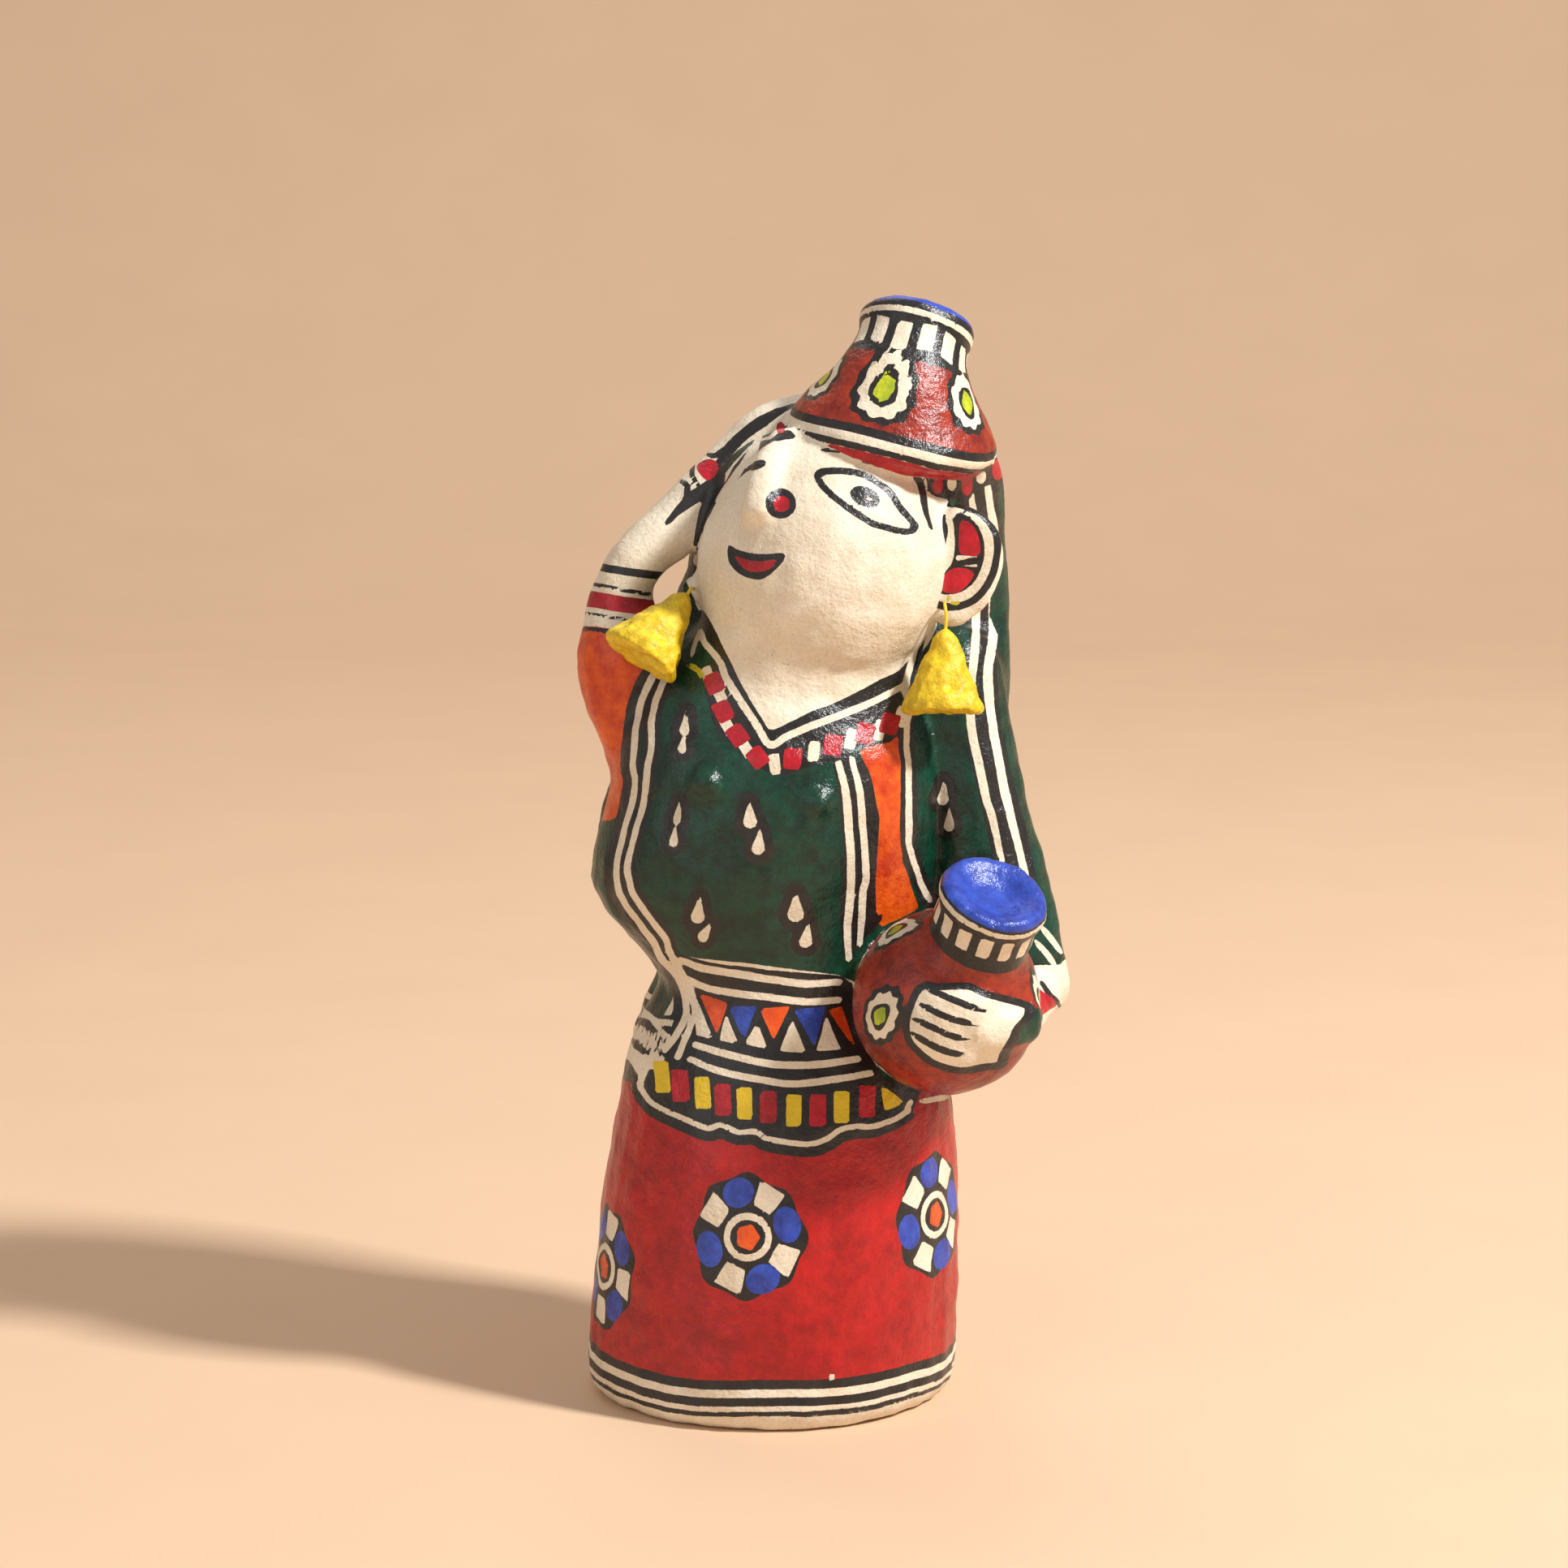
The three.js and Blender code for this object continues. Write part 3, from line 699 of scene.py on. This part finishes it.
def paintCollar(front):
    # bare neck, cream line round it, and blocks of crimson and cream on black
    outer = [(-18, 193.5), (-16, 184), (-13, 180), (-7.5, 175), (-2, 171), (4, 170), (11, 172.5),
             (15, 173.5), (20, 176.5), (32, 179), (36, 182.5)]
    inner = [(-19, 214), (-15, 206.5), (-10, 195.5), (-4, 185), (-0.5, 181), (6, 183.5), (11, 186),
             (18.5, 189), (31, 195.5), (35, 197.5), (38, 201)]
    skin = inner + [(46, 215), (30, 240), (-10, 240), (-24, 225)]
    front.leaveOut("green", skin)
    front.leaveOut("black", [(x, z + 1) for x, z in skin])
    front.area("black", inner[1:-1] + list(reversed(outer)))
    front.stroke("black", inner, 2.7, ends=0.8)
    front.stroke("cream", [(-19.5, 209.5), (-18, 206), (-14, 201), (-12, 196), (-4, 183.5), (-0.5, 178.2),
                           (4, 180.5), (11, 183.5), (26, 189.5), (36.5, 195)], 2.0, ends=0.8)
    front.stroke("cream", [(-19.5, 209.5), (-21, 206), (-21.8, 202.5)], 1.2)
    blocks = ((-17.2, 197, "cream", 20), (-15.6, 195.2, "crimson", 22), (-14.2, 192.3, "cream", 24),
              (-13.2, 187.5, "crimson", 26), (-12, 183.5, "cream", 30), (-9.3, 181, "crimson", 34),
              (-7.2, 177.6, "cream", 32), (-3.9, 174.8, "crimson", 36), (0.8, 172.9, "cream", 8),
              (5.6, 174.4, "crimson", -6), (11.3, 176.4, "cream", -6), (16.5, 178.2, "crimson", -8),
              (21.3, 179.8, "cream", -12), (25.2, 181.4, "crimson", -14), (29.1, 182.3, "cream", -14),
              (31.8, 184, "crimson", -16), (34.6, 186, "cream", -18))
    for x, z, coat, turn in blocks:
        half = (2.2, 2.6) if coat == "crimson" else (1.25, 2.6)
        c, s = math.cos(math.radians(turn)), math.sin(math.radians(turn))
        corners = [(x + c * a * half[0] - s * b * half[1], z + s * a * half[0] + c * b * half[1])
                   for a, b in ((-1, -1), (1, -1), (1, 1), (-1, 1))]
        front.area(coat, corners, grow=0.25)
    front.stroke("smear", [(-22.6, 200.2), (-20.8, 199.4), (-19.4, 198), (-18.8, 196.4)], 1.6)


def paintFace(front):
    # brow, locks beside the face, eye, nose and mouth
    strokes = (([(13.6, 258.4), (18.4, 258.2), (31.6, 255.8), (36, 253.6), (39.8, 249.4), (41.4, 242),
                 (42.8, 237.2)], 1.9, 0.5),
               ([(5.8, 271), (1.2, 268.4), (-7.4, 262.4), (-11.4, 258.4), (-14.2, 253), (-14.4, 250.4),
                 (-18.4, 240.5), (-20.4, 233)], 3.2, 0.4),
               ([(0.6, 261.6), (-4.2, 259), (-8.8, 254.4), (-11.4, 250.4), (-16.8, 242.2),
                 (-19.4, 236)], 1.7, 0.5),
               ([(-1.6, 254.9), (-6, 253.6), (-9.6, 251), (-13.2, 246.8), (-17, 242)], 1.0, 0.6),
               ([(-20.4, 228.2), (-21.6, 224.4)], 1.0, 0.8))
    for points, width, ends in strokes:
        front.stroke("ink", points, width, ends)
    front.stroke("chalk", [(-2.4, 262.6), (-5.4, 257.8), (-9.2, 252.4), (-12.4, 248),
                           (-14.6, 244.4)], 1.9, 0.5)
    front.stroke("ink", [(5.8, 262), (3.6, 262.6), (0.8, 261.6)], 2.4, 0.5)
    front.stroke("ink", [(-2.4, 254.8), (-5.2, 253.8)], 2.3, 0.8)
    front.stroke("ink", [(12.2, 251.8), (17.2, 252.8), (23.2, 252.2), (28, 250), (31.6, 247),
                         (34.2, 243.2), (38.4, 238.2), (36.4, 236.4), (31, 237.4), (25.6, 239.4),
                         (16, 246.4)],
                 1.8, closed=True)
    front.spot("ink", (25, 245.8), (4.2, 2.6), -25)
    front.stroke("chalk", [(24.2, 246), (25.6, 245.4), (27, 244.8)], 0.8)
    front.spot("ink", (2.4, 244), (4.1, 4.1))
    front.spot("bead", (2.6, 243.9), (2.2, 2.2))
    front.area("ink", [(-11.6, 232.6), (-8.4, 231.2), (-4.2, 230.4), (0, 230.4), (3, 230.6), (3.2, 228.6),
                       (-1.2, 224.2), (-4.8, 223.4), (-8.6, 224.9), (-11.4, 228)], smooth=True)
    front.area("bead", [(-10, 229.6), (-6, 228.6), (-2.4, 228.4), (1.2, 228.9), (0, 226.6), (-3.6, 225.4),
                        (-7, 226)], smooth=True)


def paintEar(ear):
    # outline, dark hollow, two crimson fields with a cream line between them
    ear.stroke("black", [(45.2, 243.2), (48.8, 244), (53.6, 242.8), (57.2, 240.4), (60, 236.6),
                         (60.8, 232.4), (60, 226.8), (58, 222), (54.4, 217.8), (49.6, 216), (44.8, 216.6),
                         (41.2, 218.8), (40.6, 222), (41.8, 226.2), (44.8, 231.2), (46.2, 236),
                         (45.8, 240.2)], 2.1, closed=True)
    ear.area("black", [(48.8, 240.8), (51.8, 241), (55.2, 238), (57, 233.6), (56.8, 228), (54.4, 222.6),
                       (50.8, 220), (46, 219.4), (44.2, 221.4), (45.6, 224.4), (48.4, 228), (49.2, 233),
                       (48.8, 237.8)], smooth=True)
    ear.area("crimson", [(50.6, 239), (52.8, 239), (55.2, 236), (56, 230.4), (53.2, 229.8),
                         (50.4, 231.2)], smooth=True)
    ear.area("crimson", [(48.4, 226.4), (54.2, 225.6), (52.8, 222), (49.6, 219.8), (46, 220.2),
                         (44.6, 221.8)], smooth=True)
    ear.stroke("chalk", [(50, 229.6), (55, 229.2)], 0.9, 1)
    ear.stroke("chalk", [(49.6, 227.8), (54.8, 227.2)], 0.9, 1)
    ear.stroke("smear", [(47.2, 219), (48, 217.6), (50.4, 216.8)], 1.3)


def paintUnderPot(front):
    # bobbled band between the head pot and the ear
    front.area("ink", [(38, 253.6), (41, 251.6), (42, 247), (44.4, 245.6), (52.4, 244.2), (54.4, 246.8),
                       (57.6, 248.6), (62.4, 249.8), (63, 257), (48, 254.5)])
    for centre, half, coat in (((44.4, 248.6), (1.5, 2.1), "bead"), ((52.4, 249), (1.6, 3), "bead"),
                               ((60.6, 253), (1.5, 2.8), "bead"), ((48.2, 249.4), (1.3, 2), "chalk"),
                               ((56.2, 251.2), (1.4, 2), "chalk"), ((46.4, 254), (0.9, 1.6), "bead"),
                               ((17.8, 260.4), (3, 1.4), "bead"), ((2.4, 264.4), (1.2, 1.6), "bead"),
                               ((0.2, 265.2), (0.9, 1), "chalk")):
        front.spot(coat, centre, half)


def paintArm(arm):
    # bangles on the raised arm
    bangles = (("ink", 2.2, [(-52, 229), (-45.8, 226.8), (-38, 225.4), (-30.2, 224.4), (-24, 223)]),
               ("ink", 1.2, [(-52, 222.8), (-47.6, 222), (-40, 220.6), (-33, 219.4)]),
               ("bead", 4.4, [(-56, 218.6), (-48, 218), (-40, 216.6), (-30, 215.4)]),
               ("ink", 1.0, [(-56, 214.8), (-49, 214), (-40, 212.6), (-30, 211)]),
               ("ink", 1.4, [(-56, 210.6), (-49.5, 209.9), (-40, 208.7), (-30, 206.6)]))
    for coat, width, points in bangles:
        arm.stroke(coat, points, width, ends=1)
    arm.area("ink", [(-29.2, 238), (-26.8, 239), (-24.8, 241), (-19.4, 244.4), (-16.2, 247.6),
                     (-15.2, 250.4), (-16.8, 250.4), (-24.2, 245)], smooth=True)
    arm.area("bead", [(-20, 253.8), (-16.8, 256), (-14.4, 254.6), (-15, 251.4), (-17.6, 250.2)], smooth=True)
    arm.stroke("ink", [(-20.8, 254.4), (-21.2, 251.4), (-19.4, 249)], 1.4)
    arm.stroke("ink", [(-17.2, 257), (-14.8, 257), (-12.6, 259)], 1.5)
    arm.stroke("ink", [(-24.4, 250), (-22.4, 248.4), (-23.2, 246)], 1.5)


potPaint = {  # heights up the pot in mm, turns in degrees from her front
    "head": {"turnRadius": 28, "blackFrom": 18.4, "creamLine": (28.6, 0.8), "blueFrom": 31.2,
             "blocks": {"apart": 25.2, "shift": 0.14, "radius": 15.4, "half": (2.1, 3)},
             "rim": {"line": (4.3, 1.1), "cream": 3.2, "ink": (0.2, 0.9), "under": -0.7},
             "rosetteRadius": 19.8, "slant": 1.19,
             "rosettes": (((-16, 13.6), (8.6, 7.6)), ((58, 13.4), (8.2, 7.6)), ((-84, 12), (8.2, 7.6)),
                          ((-146, 13.4), (8.4, 7.6)), ((122, 13.2), (8.4, 7.6)), ((168, 13.8), (7.6, 7.2)))},
    "hip": {"turnRadius": 14, "blackFrom": 23.4, "creamLine": (37, 0.8), "blueFrom": 38.6,
            "blocks": {"apart": 25.7, "shift": 0.35, "radius": 13.5, "half": (1.8, 3.2)},
            "mouth": {"radius": 12.6, "from": 34},
            "rosetteRadius": 24.7, "slant": 1.0,
            "rosettes": (((-41, 1.2), (6.6, 9.4)), ((-96, 13.4), (7.6, 7.2)), ((-108, -8), (7, 8)),
                         ((92, 12), (7.4, 7.4)), ((-34, -21), (9, 5.5)))},
}


def paintRosettes(coats, angle, height, within, wanted):
    # each a toothed cream ring on a scalloped black ground, with a yellow-green heart
    for (degrees, level), half in wanted["rosettes"]:
        aside = np.mod(angle - math.radians(degrees) + math.pi, 2 * math.pi) - math.pi
        across = aside * wanted["rosetteRadius"] / half[0]
        up = (height - level) * wanted["slant"] / half[1]
        reach = np.hypot(across, up)
        chosen = np.flatnonzero((reach < 1.6) & (within < coatReach))
        reach = reach[chosen]
        turn = np.arctan2(up[chosen], across[chosen]) + degrees
        size = (half[0] + half[1]) / 2
        rings = (("black", 1 + 0.05 * np.cos(12 * turn)), ("cream", 0.76 + 0.06 * np.cos(10 * turn + 1)),
                 ("ink", 0.44 + 0.04 * np.cos(3 * turn)), ("heart", 0.29 + 0.03 * np.cos(4 * turn)))
        for coat, edge in rings:
            field = coats[coat]
            field[chosen] = np.minimum(field[chosen], np.maximum((reach - edge) * size, within[chosen]))


def paintNeck(pot, everywhere, angle, neck, blockMiddle, wanted):
    # black, with cream blocks and a cream line above them
    pot.lay("black", everywhere, wanted["blackFrom"] - neck)
    middle, half = wanted["creamLine"]
    pot.lay("cream", everywhere, np.abs(neck - middle) - half)
    blocks = wanted["blocks"]
    step = math.radians(blocks["apart"])
    aside = np.abs(np.mod(angle / step + blocks["shift"], 1) - 0.5) * step * blocks["radius"]
    wide, tall = blocks["half"]
    pot.lay("cream", everywhere, np.maximum(aside - wide, np.abs(neck - blockMiddle) - tall))


def paintHeadPot(coats, places, within):
    wanted = potPaint["head"]
    rimPaint = wanted["rim"]
    angle, height = places[0], places[2]
    everywhere = np.arange(len(angle))
    pot = Easel(coats, angle * wanted["turnRadius"], height, within)
    pot.lay("rust", everywhere, np.full(len(angle), -coatReach))
    rim = height + 1.2 - 1.9 * np.cos(2 * angle + 0.5)
    pot.lay("black", everywhere, np.abs(rim - rimPaint["line"][0]) - rimPaint["line"][1])
    pot.lay("cream", everywhere, rim - rimPaint["cream"])
    pot.lay("ink", everywhere, np.abs(rim - rimPaint["ink"][0]) - rimPaint["ink"][1])
    pot.lay("bead", everywhere, rim - rimPaint["under"])
    pot.spare("rust", everywhere, rim - rimPaint["cream"])
    neck = height + 0.5 * np.cos(angle - 0.4)
    paintNeck(pot, everywhere, angle, neck, 22.9 + 0.6 * np.sin(5 * angle), wanted)
    pot.lay("blue", everywhere, wanted["blueFrom"] - neck)
    paintRosettes(coats, angle, height, within, wanted)


def paintHipPot(coats, places, within):
    wanted = potPaint["hip"]
    angle, radius, height = places
    everywhere = np.arange(len(angle))
    pot = Easel(coats, angle * wanted["turnRadius"], height, within)
    pot.lay("rust", everywhere, np.full(len(angle), -coatReach))
    neck = height + 0.4 * np.sin(2 * angle)
    paintNeck(pot, everywhere, angle, neck, 30.4 + 0.7 * np.cos(angle), wanted)
    mouth = np.maximum(radius - wanted["mouth"]["radius"], wanted["mouth"]["from"] - neck)
    pot.lay("blue", everywhere, np.minimum(wanted["blueFrom"] - neck, mouth))
    paintRosettes(coats, angle, height, within, wanted)


def paintHand(hand, elbow):
    # her left hand laid over the hip pot
    palm = [(41.2, 110.4), (45.4, 110.2), (53.4, 110.4), (56.6, 108.8), (60.4, 107.6), (69.4, 105.2),
            (69, 102.8), (66.4, 100.4), (65.4, 97), (63, 93), (62.2, 90.4), (57.2, 89.4), (51.6, 88.8),
            (46.2, 90), (41.8, 92.8), (38.4, 96.4), (37.6, 100.8), (38.8, 105.4)]
    hand.area("black", palm, smooth=True, grow=2.0)
    hand.leaveOut("rust", palm)
    hand.area("cream", palm, smooth=True)
    for points in ([(40, 112), (45.4, 109.4), (50.4, 107.2), (54.8, 105.4), (59, 104.2)],
                   [(39, 107.2), (44.4, 104.4), (49.4, 102.2), (56.6, 100.4)],
                   [(37.6, 102.8), (43.8, 100), (48.8, 97.6), (54.2, 96.4)],
                   [(37.2, 98.8), (42.8, 95.6), (48.4, 93), (54, 92)]):
        hand.stroke("ink", points, 1.9, ends=0.3)
    hand.stroke("ink", [(69.8, 106), (69.4, 102.8), (66.8, 99.8), (65.4, 96.6), (63.2, 92.6),
                        (62, 89.6)], 1.4, 0.8)
    elbow.area("bead", [(71.5, 112), (77, 108), (77.4, 106), (73.6, 103), (69.8, 98), (65.4, 90),
                        (62, 88), (66.5, 96.8), (70.2, 102.8)])
    elbow.stroke("ink", [(73.6, 112.4), (75.6, 109.6), (78.4, 106)], 1.3, 1)
    elbow.stroke("ink", [(72.4, 108), (71.2, 103), (68, 97.6), (65, 92.4), (62.6, 88.6)], 1.2, 1)


backSeeds = {"rows": (236, 211, 187, 162, 137), "first": -22, "apart": 23, "shift": 11, "between": (-32, 58)}


def paintBack(coats, points, rest):
    # plain veil behind, with the same seeds in rows
    back = Easel(coats, points[:, 0], points[:, 2], np.maximum(rest, 8 - points[:, 1]))
    low, high = backSeeds["between"]
    for row, level in enumerate(backSeeds["rows"]):
        for column in range(4):
            x = backSeeds["first"] + backSeeds["apart"] * column + backSeeds["shift"] * (row % 2)
            z = level + 2 * math.sin(4 * column)
            if low < x < high:
                back.drop((x, z), 8, 1.35)
                back.drop((x + 2.4, z - 7.4), -6, 1.15)


def paintFigure(figure):
    points = readPoints(figure) / mm
    fields, headPot, hipPot = partFields(points)
    margin = 1.0  # mm of veil kept off the parts that stand in front of it
    overlap = 1.6  # mm that a part's own paint runs past it
    coats = {coat: np.full(len(points), coatReach) for coat in coatOrder}
    eye = np.array(painterEye)
    sight = -eye[1] / (points[:, 1] - eye[1])
    sheet = eye + (points - eye) * sight[:, None]
    across, up = sheet[:, 0], sheet[:, 2]
    others = np.min([fields[name] for name in ("head", "ear", "headPot", "hipPot", "forearm")], axis=0)
    upper = fields["raisedArm"] + 2 * np.clip(206 - points[:, 2], 0, 4)
    rest = margin - np.minimum(others, upper)
    behindHead = np.maximum(fields["head"] - margin, 2 - points[:, 1])
    everywhere = np.arange(len(points))
    veil = Easel(coats, across, up, np.minimum(rest, behindHead))
    veil.lay("green", everywhere, 88 - points[:, 2])
    own = {}
    for name, field in fields.items():
        rivals = np.min([other for key, other in fields.items() if key != name], axis=0)
        own[name] = np.maximum(field - overlap, field - rivals)
    aside = np.minimum(own["headPot"], np.minimum(own["hipPot"], own["ear"]))
    front = Easel(coats, across, up, np.maximum(-aside, points[:, 1] - 9))
    paintBack(coats, points, rest)
    paintSkirt(coats, points, rest)
    paintWaist(front)
    paintVeilFront(front)
    paintCollar(front)
    paintFace(front)
    paintUnderPot(front)
    paintArm(Easel(coats, across, up, fields["raisedArm"] - 2))
    paintEar(Easel(coats, across, up, own["ear"]))
    paintHeadPot(coats, headPot, own["headPot"])
    paintHipPot(coats, hipPot, own["hipPot"])
    near = np.maximum(np.minimum(fields["hipPot"] - 3, fields["forearm"] - 1.5), points[:, 1] + 25)
    paintHand(Easel(coats, across, up, near), Easel(coats, across, up, fields["forearm"] - 2.5))
    for coat, field in coats.items():
        attribute = figure.data.attributes.new(coat, "FLOAT", "POINT")
        attribute.data.foreach_set("value", np.clip(field, -coatReach, coatReach).astype(np.float32))


# materials

paper = {"light": (0.84, 0.75, 0.60), "dull": (0.74, 0.63, 0.47), "speck": (0.30, 0.20, 0.12)}  # linear
paints = {  # where a coat lies dull, where it lies full
    "green": ((0.003, 0.018, 0.011), (0.002, 0.055, 0.03)),
    "red": ((0.30, 0.004, 0.006), (0.50, 0.008, 0.008)),
    "rust": ((0.16, 0.010, 0.006), (0.40, 0.035, 0.010)),
    "orange": ((0.52, 0.035, 0.004), (0.80, 0.12, 0.006)),
    "black": ((0.022, 0.020, 0.019), (0.010, 0.009, 0.009)),
    "crimson": ((0.28, 0.004, 0.010), (0.52, 0.008, 0.022)),
    "blue": ((0.015, 0.035, 0.26), (0.035, 0.085, 0.50)),
    "yellow": ((0.66, 0.50, 0.01), (0.82, 0.56, 0.02)),
    "tangerine": ((0.60, 0.05, 0.005), (0.80, 0.11, 0.01)),
    "heart": ((0.22, 0.35, 0.02), (0.60, 0.62, 0.02)),
    "smear": ((0.35, 0.36, 0.03), (0.60, 0.50, 0.03)),
    "pulp": ((0.62, 0.42, 0.008), (0.85, 0.60, 0.015)),
    "wire": ((0.78, 0.55, 0.02), (0.30, 0.26, 0.20)),
}
paints["ink"] = paints["black"]
paints["bead"] = paints["crimson"]
paintEdge = {"wander": 0.28, "softness": 0.07}  # mm
mattness = {"paper": 0.5, "paint": 0.3, "wire": 0.42, "floor": 0.8}
relief = {"figure": 0.55, "cones": 0.5}  # mm


class Value:
    # a number or colour inside a material, so that sums can be written plainly
    def __init__(self, board, socket):
        self.board = board
        self.socket = socket

    def sum(self, operation, first, second):
        return self.board.add("ShaderNodeMath", {"operation": operation}, {0: first, 1: second})

    def __add__(self, other):
        return self.sum("ADD", self, other)

    def __radd__(self, other):
        return self.sum("ADD", other, self)

    def __sub__(self, other):
        return self.sum("SUBTRACT", self, other)

    def __rsub__(self, other):
        return self.sum("SUBTRACT", other, self)

    def __mul__(self, other):
        return self.sum("MULTIPLY", self, other)

    def __rmul__(self, other):
        return self.sum("MULTIPLY", other, self)

class Board:
    # one material and its nodes
    def __init__(self, name):
        self.material = bpy.data.materials.new(name)
        self.material.use_nodes = True
        self.tree = self.material.node_tree
        self.shader = self.tree.nodes["Principled BSDF"]

    def plug(self, socket, value):
        if isinstance(value, Value):
            self.tree.links.new(value.socket, socket)
        elif isinstance(value, tuple) and len(value) == 3 and len(socket.default_value) == 4:
            socket.default_value = (*value, 1)
        else:
            socket.default_value = value

    def add(self, kind, settings=None, inputs=None, output=0):
        node = self.tree.nodes.new(kind)
        for key, value in (settings or {}).items():
            setattr(node, key, value)
        for key, value in (inputs or {}).items():
            self.plug(node.inputs[key], value)
        return Value(self, node.outputs[output])

    def finish(self, inputs):
        for key, value in inputs.items():
            self.plug(self.shader.inputs[key], value)
        return self.material

    def place(self):
        return self.add("ShaderNodeTexCoord", output="Object")

    def noise(self, grain, detail=2.0, roughness=0.5, shift=0.0):
        # grain in mm; about 0 to 1, mostly near 0.5
        where = self.add("ShaderNodeMapping", {}, {"Vector": self.place(),
                                                   "Location": (shift, shift * 0.7, -shift)})
        return self.add("ShaderNodeTexNoise", {}, {"Vector": where, "Scale": 1000 / grain, "Detail": detail,
                                                   "Roughness": roughness})

    def ramp(self, value, low, high, bottom=0.0, top=1.0):
        return self.add("ShaderNodeMapRange", {"clamp": True},
                        {"Value": value, "From Min": low, "From Max": high, "To Min": bottom, "To Max": top})

    def mix(self, share, below, above):
        node = self.tree.nodes.new("ShaderNodeMix")
        node.data_type = "RGBA"
        for index, value in ((0, share), (6, below), (7, above)):
            self.plug(node.inputs[index], value)
        return Value(self, node.outputs[2])

    def shade(self, colour, share):
        return self.add("ShaderNodeVectorMath", {"operation": "SCALE"}, {0: colour, "Scale": share})

    def field(self, name):
        return self.add("ShaderNodeAttribute", {"attribute_name": name}, output="Fac")

    def bump(self, height, depth):
        # depth in mm
        return self.add("ShaderNodeBump", {}, {"Height": height, "Strength": 1.0, "Distance": depth * mm})


def figurePaint():
    board = Board("painted_pulp")
    wobble = (board.noise(2.2, 2) - 0.5) * 1.1 + (board.noise(0.7, 1) - 0.5) * 0.5
    cloud = board.noise(14, 3, shift=0.3)
    mottle = board.noise(3.5, 3, 0.6, shift=0.7)
    fine = board.noise(0.8, 2, 0.6, shift=0.2)
    specks = board.ramp(board.noise(0.9, 1, shift=1.3), 0.72, 0.76)
    sheet = board.mix(board.ramp(cloud, 0.35, 0.7), paper["light"], paper["dull"])
    sheet = board.shade(sheet, board.ramp(fine, 0.3, 0.7, 0.9, 1.05))
    sheet = board.mix(specks * 0.55, sheet, paper["speck"])
    streak = board.ramp(mottle * 0.55 + cloud * 0.45, 0.38, 0.64)
    colour = sheet
    gloss = board.ramp(mottle, 0.3, 0.7, 0.5, 0.62)
    for coat in coatOrder:
        edge = board.field(coat) + wobble * paintEdge["wander"]
        cover = board.ramp(edge, -paintEdge["softness"], paintEdge["softness"], 1.0, 0.0)
        bare = coat in ("cream", "chalk")
        coatColour = sheet if bare else board.mix(streak, *paints[coat])
        colour = board.mix(cover, colour, coatColour)
        gloss = gloss + cover * (mattness["paper" if bare else "paint"] - gloss)
    crinkle = board.noise(1.5, 3, 0.62, shift=0.9)
    pits = board.noise(4.5, 2, 0.5, shift=0.4)
    grain = board.noise(0.45, 1, 0.5)
    height = crinkle * 0.6 + pits * 0.5 + grain * 0.12
    return board.finish({"Base Color": colour, "Roughness": gloss,
                         "Normal": board.bump(height, relief["figure"])})


def pulpPaint():
    board = Board("yellow_pulp")
    mottle = board.noise(3, 3, 0.6)
    fine = board.noise(0.7, 2)
    colour = board.mix(board.ramp(mottle, 0.35, 0.62), *paints["pulp"])
    colour = board.shade(colour, board.ramp(fine, 0.3, 0.7, 0.85, 1.05))
    height = board.noise(1.3, 3, 0.65) * 0.8 + fine * 0.25
    return board.finish({"Base Color": colour, "Roughness": board.ramp(mottle, 0.3, 0.7, 0.38, 0.55),
                         "Normal": board.bump(height, relief["cones"])})


def wirePaint():
    board = Board("painted_wire")
    wear = board.ramp(board.noise(1.2, 2), 0.56, 0.64)
    colour = board.mix(wear, *paints["wire"])
    return board.finish({"Base Color": colour, "Roughness": mattness["wire"], "Metallic": wear * 0.7})


def floorPaint():
    board = Board("studio_floor")
    tone = board.ramp(board.noise(60, 2), 0.3, 0.7, 0.985, 1.01)
    return board.finish({"Base Color": board.shade(studio["floor"], tone), "Roughness": mattness["floor"]})


# making everything

floor = makeStudio()
floor.data.materials.append(floorPaint())
figure = makeFigure()
figure.data.materials.append(figurePaint())
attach(figure, "root")
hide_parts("figure")
yellow, wireYellow = pulpPaint(), wirePaint()
for side in ("left", "right"):
    cone = makeCone(side)
    cone.data.materials.append(yellow)
    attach(cone, "root")
    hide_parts(side + "_earring")
    wire = makeWire(side)
    wire.data.materials.append(wireYellow)
    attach(wire, "root")
    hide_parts(side + "_earring_wire")
